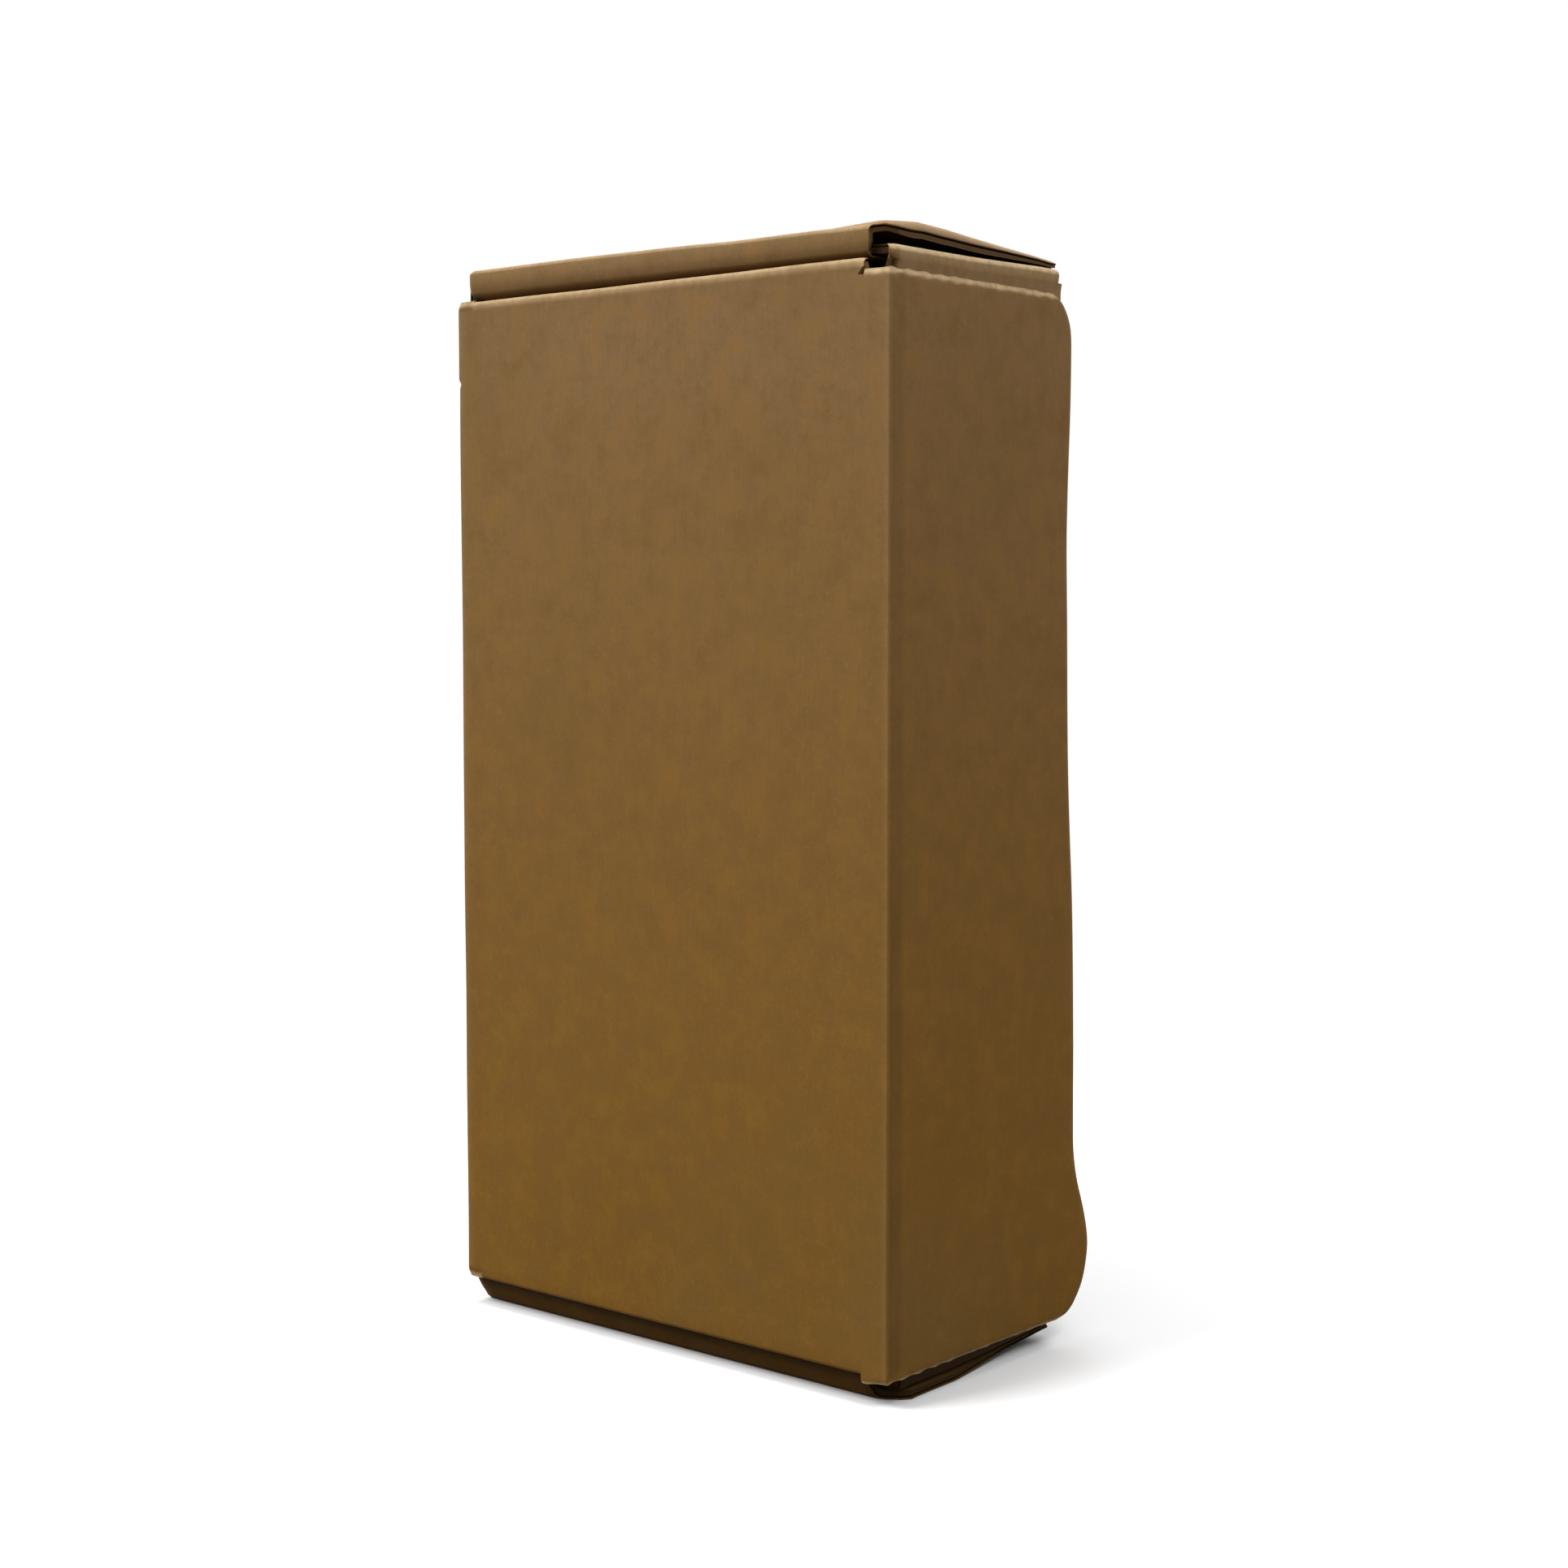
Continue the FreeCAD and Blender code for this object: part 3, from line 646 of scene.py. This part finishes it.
def bend_lid(points):
    """A little crown in the lid's panel, fading out at its folds."""
    out = points.copy()
    x, y, z = np.moveaxis(points, -1, 0)
    inside = ramp(x, LEFT + 6, LEFT + 40) * ramp(-x, -(STEP_X - 4), -(STEP_X - 35))
    tall = ramp(z, LID_LOW + 3, LID_LOW + 45) * ramp(-z, -(LID_HIGH - 5), -(LID_HIGH - 45))
    panel = y < FRONT + BOARD * 1.1
    out[..., 1] -= np.where(panel, inside * tall * (0.5 + 0.35 * waves(points, 80, 3)), 0)
    out[..., 2] += np.where(panel, ramp(z, LID_HIGH - 6, LID_HIGH) * waves(points * [1, 0, 0], 40, 4) * 0.25, 0)
    out[..., 2] += np.where(panel, ramp(z, LID_HIGH - 30, LID_HIGH) * 0.2 * (x / 80), 0)
    return out


def make_lid():
    """Lid panel with its two ears; the folds beside it are pieces of their own."""
    lid = Board("lid_board")
    mid_front = FRONT + HALF
    line = [
        (EAR_TIP, LID_HIGH - EAR_LEAN - HALF), (mid_front, LID_HIGH - HALF), (mid_front, LID_LOW + HALF),
        (EAR_TIP, LID_LOW + EAR_LEAN + HALF),
    ]

    def ear_round(y):
        """How much an ear's rounded corner takes off its side."""
        rest = np.clip(y - (EAR_TIP - EAR_ROUND), 0, EAR_ROUND)
        return EAR_ROUND - math.sqrt(EAR_ROUND ** 2 - rest ** 2)

    def ear_side(y):
        """How far an ear's side has come in at a depth, with its slant and its rounded corner."""
        return EAR_TAPER * (y - FRONT - BOARD) / (EAR_LONG - BOARD) + ear_round(y)

    def left_side(point):
        return SEAM_X if point[0] < FRONT + BOARD else SEAM_X + ear_side(point[0])

    def right_side(point):
        y, z = point
        if y < FRONT + BOARD:
            return STEP_X - np.interp(z, [TEAR, TEAR + 0.1, FLAP_HIGH, FLAP_HIGH + 0.1], [0, 2.0, 0.2, 0])
        return EAR_END - ear_side(y)

    tear_rows = TEAR + np.array([1.6, 1.1, 0.6, 0.15, 0.0, -0.3, -0.7])
    heights = np.array([FLAP_HIGH + 0.15, FLAP_HIGH - 0.05, *tear_rows])
    top_start, low_start = LID_HIGH - (1.7 + 2.75) / 2, LID_LOW + (1.2 + 2.75) / 2
    path = fold_lines(line, [0, 1.7, 1.2, 0], 4.0, {1: (top_start - heights) / (top_start - low_start)})
    # Lid's top fold pale: rubbed, with a painted highlight from the light above; painted shade on its bottom fold.
    folded(lid, "YZ", path, None, left_side, right_side, (True, True), open_rows=(0, 1),
           fold_tone=lambda p: 0.72 if p[1] > 150 else -0.2,
           sides=(flat(0.0), lambda p: 0.6 if p[0] < FRONT + BOARD and p[1] > FLAP_HIGH else 0.0), bend=bend_lid)
    return lid.build()


# Folds between tray and lid, and between lid and tuck flap

def corner_section(start, corner, end, radius, counts):
    """Points from start round a corner to end, with the same number on each part whatever the radius."""
    start, corner, end = (np.array(p, float) for p in (start, corner, end))
    before, after = unit(start - corner), unit(end - corner)
    first, last = corner + before * radius, corner + after * radius
    centre = first + after * radius
    turn = np.linspace(0, math.pi / 2, counts[1] + 2)[1:-1]
    arc = [centre - after * radius * math.cos(t) - before * radius * math.sin(t) for t in turn]
    return np.array([start + (first - start) * t for t in np.linspace(0, 1, counts[0])] + arc
                    + [last + (end - last) * t for t in np.linspace(0, 1, counts[2])])


def end_levels(low, high, step):
    """Heights from low to high, closer together at both ends."""
    near = np.array(EDGE_STEPS)
    inner = np.arange(low + near[-1] + step / 2, high - near[-1] - step / 2, step)
    return np.concatenate([low + near, inner, (high - near)[::-1]])


def pressed_ends(gap, across):
    """Tone and squeeze behind an edge cut across the flutes: a pale scalloped band, pressed liner with a painted
    highlight, and a line of painted shade under it.
    """
    wide = 1.45 + 0.4 * scallops(across, 1.0)
    tone = 1.15 * np.exp(-(gap / wide) ** 4) - 0.42 * bump_at(gap, wide + 0.95, 0.5)
    squeeze = 0.42 * np.exp(-(gap / 1.3) ** 2) * (1 + 0.5 * scallops(across))
    return tone, squeeze


def make_hinge_fold():
    """The fold that carries the lid at the hinge wall, with the small nick in its edge."""
    fold = Board("hinge_fold")
    counts = (8, 7, 8)
    outer = corner_section((LEFT, HINGE_EDGE), (LEFT, FRONT), (SEAM_X, FRONT), 1.0, counts)
    inside = (LEFT + BOARD, FRONT + BOARD)
    inner = corner_section((inside[0], HINGE_EDGE), inside, (SEAM_X, inside[1]), 0.2, counts)
    levels = end_levels(LID_LOW + 0.1, LID_HIGH - 0.1, 2.5)
    levels = np.sort(np.concatenate([levels, NICK + np.array([-1.1, -0.3, 0.4, 1.1])]))
    sheet(fold, outer, inner, levels)
    return fold.build()


def sheet(board, outer, inner, levels):
    """The hinge fold's board along Z between an outer and an inner line."""
    shape = (len(levels), len(outer))
    top, bottom = np.zeros(shape + (3,)), np.zeros(shape + (3,))
    for points, line in ((top, outer), (bottom, inner)):
        points[..., :2] = line[None]
        points[..., 2] = levels[:, None]
    run = run_length(outer)
    gap = np.minimum(levels - levels[0], levels[-1] - levels)[:, None]
    tone, squeeze = pressed_ends(gap, run[None, :])
    centre = (top + bottom) / 2
    top = centre + (top - centre) * (1 - squeeze[..., None])
    bottom = centre + (bottom - centre) * (1 - 0.5 * squeeze[..., None])
    z = levels[:, None]
    corner = bump_at(outer[None, :, 0] - LEFT + outer[None, :, 1] - FRONT, 0, 2.2)
    away = 0.45 * ramp(z, NICK + 0.5, NICK + 1.5) * corner - 0.55 * bump_at(z, NICK, 0.7) * corner
    top[..., 0] -= away + 0.3 * corner * waves(top * [0, 0, 1], 35, 8)
    tone = tone * 0.8 + 0.18 * corner
    uv = np.stack(np.broadcast_arrays(SEAM_X - run[-1] + run[None, :], z), axis=-1) * MM
    board.skins(top, bottom, uv, tone, open_rows=(0, 1))


# Depth of the tuck flap's free edge behind the lid's face at heights above the lid's bottom fold
FREE_EDGE = (
    (-1.2, 77.0), (-0.9, 84.6), (0.8, 88.4), (3.0, 91.0), (7.0, 94.3), (11.5, 96.2), (16.0, 97.3), (20.0, 97.6),
    (26.0, 96.6), (32.0, 94.8), (37.0, 93.0), (42.0, 91.7), (49.0, 90.7), (62.0, 90.4), (84.0, 90.0), (120.0, 88.5),
    (144.0, 86.9), (168.0, 85.7), (219.0, 84.2), (238.0, 84.4), (262.0, 85.3), (278.0, 85.5), (285.0, 85.4),
    (289.0, 84.6), (292.5, 82.6), (295.0, 80.0), (296.6, 76.5), (297.0, 72.5),
)


def flap_reach(levels):
    """The free edge's y at each height, on a smooth curve through FREE_EDGE."""
    points = np.array(FREE_EDGE)
    bent = [points[0]]
    for i in range(len(points) - 1):
        p0, p1, p2, p3 = (points[min(max(i + k, 0), len(points) - 1)] for k in (-1, 0, 1, 2))
        for t in np.linspace(0, 1, 9)[1:]:
            a = -0.5 * p0 + 1.5 * p1 - 1.5 * p2 + 0.5 * p3
            b = p0 - 2.5 * p1 + 2 * p2 - 0.5 * p3
            bent.append(((a * t + b) * t + 0.5 * (p2 - p0)) * t + p1)
    bent = np.array(bent)
    heights = np.maximum.accumulate(bent[:, 0] + LID_LOW + np.arange(len(bent)) * 1e-6)
    return np.interp(levels, heights, bent[:, 1] + FRONT)


def flap_levels():
    """Heights across the tuck flap, close together at its rounded corners and its edges."""
    turn = np.linspace(0, math.pi / 2, 16)
    ends = np.concatenate([14 * (1 - np.cos(turn)), EDGE_STEPS])
    inner = np.arange(FLAP_LOW + 15, FLAP_HIGH - 14, 2.2)
    levels = np.sort(np.concatenate([FLAP_LOW + ends, FLAP_HIGH - ends, inner]))
    levels = levels[np.concatenate([[True], np.diff(levels) > 0.04])]
    levels[-1] = FLAP_HIGH
    return levels


def flap_marks(top, past, on_flap, levels, run, ends_gap, free_gap):
    """Tone and squeeze of the tuck flap: pressed edges, painted shade in the crease beside the lid's fold and a
    painted highlight on the lid's side of the fold.
    """
    tone, squeeze = pressed_ends(ends_gap * (1 + 0.9 * (levels < 100)), run)
    squeeze = np.maximum(squeeze, 0.3 * np.exp(-(free_gap / 1.2) ** 2))
    tone = np.maximum(tone, 0.2 * np.exp(-(free_gap / 0.6) ** 2))
    # Painted shade in the crease beside the lid's fold, stronger lower down.
    crease = ramp(past, 0.4, 1.2) * ramp(-past, -6.8, -4.6) * on_flap
    patchy = 0.8 + 0.5 * waves(top * [0, 0.4, 1], 22, 11)
    tone = tone - 0.29 * crease * ramp(ends_gap, 1.0, 3.0) * patchy * (1.25 - 0.5 * ramp(levels, 60, 290))
    # Painted highlight on the lid's side of the fold.
    return tone + 0.10 * ramp(top[..., 0], RIGHT - 2.4, RIGHT - 1.2) * ~on_flap, squeeze


def bend_flap(top, bottom, past, on_flap, levels, run, ends_gap):
    """Waved edges, a step sagging beside the lid, the ridge beside the fold and a free side that stands off."""
    wavy = 0.22 * scallops(run, 1.0) * np.exp(-(ends_gap / 1.2) ** 2)
    upper_half = levels > (FLAP_LOW + FLAP_HIGH) / 2
    sag = 0.9 * np.clip((RIGHT - 1.5 - top[..., 0]) / 6.0, 0, 1) * np.exp(-((levels - FLAP_LOW) / 5.0) ** 2)
    for points in (top, bottom):
        points[..., 2] += np.where(upper_half, wavy, -wavy) * on_flap
        points[..., 2] -= sag
    ridge = 0.22 * ramp(past, 0.3, 1.2) - 0.55 * ramp(past, 1.2, 5.8) + 0.33 * ramp(past, 5.8, 6.8)
    top[..., 0] += np.where(on_flap, ridge * ramp(ends_gap, 1.0, 3.0), 0)
    for points in (top, bottom):
        y, z = points[..., 1], points[..., 2]
        away = ramp(y - FRONT, 14, 60)
        points[..., 0] += away * (0.25 + 0.35 * waves(points, 60, 5))
        points[..., 0] += 0.7 * ramp(y, 18, 52) * ramp(-z, -62, -18)


def make_flap():
    """Tuck flap and the fold that joins it to the lid, as one board."""
    flap = Board("flap_board")
    levels = flap_levels()
    counts, rows = (9, 7, 16), len(levels)
    inside = (RIGHT - BOARD, FRONT + BOARD)
    outer = corner_section((STEP_X, FRONT), (RIGHT, FRONT), (RIGHT, FLAP_TURN), 0.9, counts)
    inner = corner_section((STEP_X, inside[1]), inside, (inside[0], FLAP_TURN), 0.2, counts)
    reach = flap_reach(levels)
    share = shares(BACK + 5 - FLAP_TURN, 1.2)[1:]
    share = share[share > 0.006]
    depth = FLAP_TURN + (reach - FLAP_TURN)[:, None] * share[None, :]

    def skin(line, x):
        fixed = np.broadcast_to(line[None], (rows,) + line.shape)
        free = np.stack([np.full(depth.shape, x), depth], axis=-1)
        flat_part = np.concatenate([fixed, free], axis=1)
        height = np.broadcast_to(levels[:, None], flat_part.shape[:2])
        return np.concatenate([flat_part, height[..., None]], axis=-1)

    top, bottom = skin(outer, RIGHT), skin(inner, RIGHT - BOARD)
    run = np.broadcast_to(run_length(outer), (rows, len(outer)))
    run = np.concatenate([run, run[:, -1:] + depth - FLAP_TURN], axis=1) + STEP_X
    ends_gap = np.minimum(levels - FLAP_LOW, FLAP_HIGH - levels)[:, None]
    free_gap = np.concatenate([np.full((rows, len(outer)), 50.0), reach[:, None] - depth], axis=1)
    past, on_flap = top[..., 1] - FRONT, top[..., 0] > RIGHT - 0.5
    tone, squeeze = flap_marks(top, past, on_flap, levels[:, None], run, ends_gap, free_gap)
    centre = (top + bottom) / 2
    pressed_top = centre + (top - centre) * (1 - 1.1 * squeeze[..., None])
    pressed_bottom = centre + (bottom - centre) * (1 - 0.5 * squeeze[..., None])
    top, bottom = pressed_top, pressed_bottom
    bend_flap(top, bottom, past, on_flap, levels[:, None], run, ends_gap)
    uv = np.stack([run, np.broadcast_to(levels[:, None], run.shape)], axis=-1) * MM
    flap.skins(top, bottom, uv, tone, open_rows=(0, 1), groove=(None, np.full(rows, 0.7)))
    return flap.build()


# Materials

class Nodes:
    """Short names for building a node tree."""

    def __init__(self, owner):
        owner.use_nodes = True
        self.tree = owner.node_tree
        self.tree.nodes.clear()

    def add(self, kind, **settings):
        node = self.tree.nodes.new(kind)
        for key, value in settings.items():
            setattr(node, key, value)
        return node

    def link(self, source, target):
        self.tree.links.new(source, target)

    def fill(self, sockets, values):
        for socket, value in zip(sockets, values):
            if isinstance(value, (tuple, float, int)):
                socket.default_value = value
            else:
                self.link(value, socket)

    def mix(self, factor, first, second):
        node = self.add("ShaderNodeMix", data_type="RGBA")
        self.fill((node.inputs["Factor"], node.inputs[6], node.inputs[7]), (factor, first, second))
        return node.outputs[2]

    def math(self, operation, first, second=0.0):
        node = self.add("ShaderNodeMath", operation=operation)
        self.fill(node.inputs, (first, second))
        return node.outputs[0]

    def noise(self, vector, scale, detail=2.0, rough=0.5):
        node = self.add("ShaderNodeTexNoise")
        node.inputs["Scale"].default_value = scale
        node.inputs["Detail"].default_value = detail
        node.inputs["Roughness"].default_value = rough
        self.link(vector, node.inputs["Vector"])
        return node.outputs["Fac"]

    def spread(self, value, low, high, to_low=0.0, to_high=1.0):
        node = self.add("ShaderNodeMapRange")
        self.link(value, node.inputs["Value"])
        for name, number in (("From Min", low), ("From Max", high), ("To Min", to_low), ("To Max", to_high)):
            node.inputs[name].default_value = number
        return node.outputs[0]

    def stretched(self, vector, scale):
        node = self.add("ShaderNodeMapping")
        node.inputs["Scale"].default_value = scale
        self.link(vector, node.inputs["Vector"])
        return node.outputs[0]


def srgb(red, green, blue):
    """A screen colour, 0 to 255, as the linear colour that a shader takes."""
    def linear(c):
        c /= 255
        return c / 12.92 if c <= 0.04045 else ((c + 0.055) / 1.055) ** 2.4
    return (linear(red), linear(green), linear(blue), 1.0)


KRAFT_LOW = srgb(124, 89, 31)      # liner at the bottom of the box
KRAFT_TOP_SHEEN = srgb(129, 103, 72)    # and at the top, paler and bluer: painted sheen of the light from above
GREEN_CLOUD = srgb(118, 88, 44)
WARM_CLOUD = srgb(133, 97, 40)
GREEN_PATCH = srgb(116, 91, 50)
FIBRE = srgb(100, 74, 40)
SPECK = srgb(156, 128, 90)
PALE_RUB_AND_HIGHLIGHT = srgb(190, 165, 128)       # where the tone is above 0: rubbed wear and painted highlights
SHADED = srgb(46, 29, 8)           # where it is below 0


def kraft_board():
    """Unprinted brown liner: cloudy pulp, fine fibres, faint flute lines, a painted sheen towards the top, pale
    rubbed edges with painted highlights, and painted shade in creases, joints and hollows.
    """
    material = bpy.data.materials.new("kraft_board")
    n = Nodes(material)
    place = n.add("ShaderNodeTexCoord").outputs["Object"]
    flutes = n.add("ShaderNodeUVMap", uv_map="flutes").outputs["UV"]
    parts = n.add("ShaderNodeSeparateXYZ")
    n.link(place, parts.inputs[0])
    # Painted sheen: the colour turns paler and bluer towards the top, where the light from above falls.
    height_sheen = n.math("POWER", n.spread(parts.outputs[2], 0.0, 0.31), 1.6)
    colour = n.mix(height_sheen, KRAFT_LOW, KRAFT_TOP_SHEEN)
    cloud = n.noise(place, 95.0, 6.0, 0.72)
    patch = n.noise(n.stretched(place, (1.0, 1.0, 0.6)), 17.0, 2.0, 0.5)
    fibre = n.noise(n.stretched(flutes, (1100.0, 60.0, 1.0)), 1.0, 3.0, 0.6)
    speck = n.noise(place, 1000.0, 2.0, 0.6)
    for field, low, high, most, tint in (
        (cloud, 0.42, 0.66, 0.7, GREEN_CLOUD),
        (cloud, 0.5, 0.34, 0.6, WARM_CLOUD),
        (patch, 0.5, 0.72, 0.45, GREEN_PATCH),
        (fibre, 0.45, 0.75, 0.16, FIBRE),
        (speck, 0.55, 0.8, 0.2, SPECK),
    ):
        colour = n.mix(n.math("MULTIPLY", n.spread(field, low, high), most), colour, tint)
    # Tone above 0 paints rubbed wear and highlights; tone below 0 paints shade.
    tone = n.add("ShaderNodeAttribute", attribute_name="tone").outputs["Fac"]
    torn = n.spread(n.noise(place, 420.0, 3.0, 0.6), 0.25, 0.7, 0.45, 1.0)
    pale = n.math("MULTIPLY", n.math("MAXIMUM", tone, 0.0), torn)
    colour = n.mix(pale, colour, PALE_RUB_AND_HIGHLIGHT)
    dark = n.math("MAXIMUM", n.math("MULTIPLY", tone, -1.0), 0.0)
    colour = n.mix(dark, colour, SHADED)
    across = n.add("ShaderNodeSeparateXYZ")
    n.link(flutes, across.inputs[0])
    ripple = n.math("SINE", n.math("MULTIPLY", across.outputs[0], 2 * math.pi / (FLUTE * MM)))
    grain = n.noise(place, 1500.0, 3.0, 0.6)
    relief = n.math("ADD", n.math("MULTIPLY", ripple, 0.022), n.math("MULTIPLY", grain, 0.03))
    relief = n.math("ADD", relief, n.math("MULTIPLY", cloud, 0.04))
    bump = n.add("ShaderNodeBump")
    bump.inputs["Distance"].default_value = 0.001
    bump.inputs["Strength"].default_value = 0.6
    n.link(relief, bump.inputs["Height"])
    shader = n.add("ShaderNodeBsdfPrincipled")
    n.link(colour, shader.inputs["Base Color"])
    n.link(n.spread(cloud, 0.3, 0.7, 0.66, 0.8), shader.inputs["Roughness"])
    shader.inputs["Specular IOR Level"].default_value = 0.1
    n.link(bump.outputs["Normal"], shader.inputs["Normal"])
    out = n.add("ShaderNodeOutputMaterial")
    n.link(shader.outputs[0], out.inputs["Surface"])
    return material


# Room

BOX_MIDDLE = (0, 0, 0.16)
CAMERA_PLACE = (0.4805, -0.5612, 0.2192)
CAMERA_TURN, CAMERA_DIP = 39.93, 4.303  # degrees
CAMERA_LENS = 56.85
# name, place and side in metres, power in watts, colour
LAMPS = (
    ("key", (-0.7, -1.2, 1.75), 1.0, 45.0, (1, 1, 1)),
    ("overhead", (-0.1, 0.0, 1.5), 0.8, 9.0, (0.94, 0.97, 1.0)),
    ("fill", (0.8, -0.1, 1.15), 0.6, 7.8, (1, 1, 1)),
    ("back", (-0.6, 1.4, 1.2), 1.0, 14.0, (1, 1, 1)),
)


def seen_rays(n):
    """1 for what the camera sees, also in a reflection or through glass, 0 for light on the object."""
    path = n.add("ShaderNodeLightPath")
    seen = n.math("MAXIMUM", path.outputs["Is Camera Ray"], path.outputs["Is Glossy Ray"])
    return n.math("MAXIMUM", seen, path.outputs["Is Transmission Ray"])


def white_room():
    """White all round to the camera; the floor keeps the box's soft shadow and throws little light back."""
    material = bpy.data.materials.new("pale_floor")
    n = Nodes(material)
    near, dim = n.add("ShaderNodeBsdfDiffuse"), n.add("ShaderNodeBsdfDiffuse")
    far = n.add("ShaderNodeEmission")
    near.inputs["Color"].default_value = (0.9, 0.9, 0.9, 1)
    dim.inputs["Color"].default_value = (0.2, 0.15, 0.08, 1)
    far.inputs["Color"].default_value = (1, 1, 1, 1)
    distance = n.add("ShaderNodeVectorMath", operation="LENGTH")
    n.link(n.add("ShaderNodeTexCoord").outputs["Object"], distance.inputs[0])
    fade, mixer = n.add("ShaderNodeMixShader"), n.add("ShaderNodeMixShader")
    n.link(n.spread(distance.outputs["Value"], 0.25, 0.7), fade.inputs[0])
    n.link(near.outputs[0], fade.inputs[1])
    n.link(far.outputs[0], fade.inputs[2])
    n.link(seen_rays(n), mixer.inputs[0])
    n.link(dim.outputs[0], mixer.inputs[1])
    n.link(fade.outputs[0], mixer.inputs[2])
    n.link(mixer.outputs[0], n.add("ShaderNodeOutputMaterial").inputs["Surface"])
    bpy.ops.mesh.primitive_plane_add(size=8.0, location=(0, 0, 0))
    floor = bpy.context.object
    floor.name = "floor"
    floor.data.materials.append(material)
    world = bpy.data.worlds.new("studio")
    bpy.context.scene.world = world
    w = Nodes(world)
    soft, white = w.add("ShaderNodeBackground"), w.add("ShaderNodeBackground")
    soft.inputs["Color"].default_value = (0.97, 0.98, 1.0, 1)
    soft.inputs["Strength"].default_value = 0.3
    white.inputs["Color"].default_value = (1, 1, 1, 1)
    mixer = w.add("ShaderNodeMixShader")
    w.link(seen_rays(w), mixer.inputs[0])
    w.link(soft.outputs[0], mixer.inputs[1])
    w.link(white.outputs[0], mixer.inputs[2])
    w.link(mixer.outputs[0], w.add("ShaderNodeOutputWorld").inputs["Surface"])


def soft_light(name, place, size, power, colour):
    """A square lamp that shines at the middle of the box."""
    light = bpy.data.lights.new(name, "AREA")
    light.shape = "SQUARE"
    light.size = size
    light.energy = power
    light.color = colour
    lamp = bpy.data.objects.new(name, light)
    lamp.location = place
    lamp.rotation_euler = (Vector(BOX_MIDDLE) - Vector(place)).to_track_quat("-Z", "Y").to_euler()
    bpy.context.scene.collection.objects.link(lamp)


def place_camera():
    """Camera at the photograph's viewing angle, worked out from the box's corners in it."""
    camera = bpy.data.cameras.new("camera")
    camera.sensor_width = 36.0
    camera.lens = CAMERA_LENS
    eye = bpy.data.objects.new("camera", camera)
    eye.location = CAMERA_PLACE
    turn, dip = math.radians(CAMERA_TURN), math.radians(CAMERA_DIP)
    eye.rotation_euler = (math.pi / 2 - dip, 0, turn)
    bpy.context.scene.collection.objects.link(eye)
    bpy.context.scene.camera = eye


tray_board = make_tray()
lid_board = make_lid()
hinge_fold = make_hinge_fold()
flap_board = make_flap()
kraft = kraft_board()
for piece in (tray_board, lid_board, hinge_fold, flap_board):
    piece.data.materials.append(kraft)
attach(tray_board, "tray")
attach(lid_board, "lid")
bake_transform(hinge_fold)
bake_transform(flap_board)
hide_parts("tray")
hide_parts("lid")
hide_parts("tuck_flap")
white_room()
for lamp in LAMPS:
    soft_light(*lamp)
place_camera()
bpy.context.scene.view_settings.view_transform = "Standard"
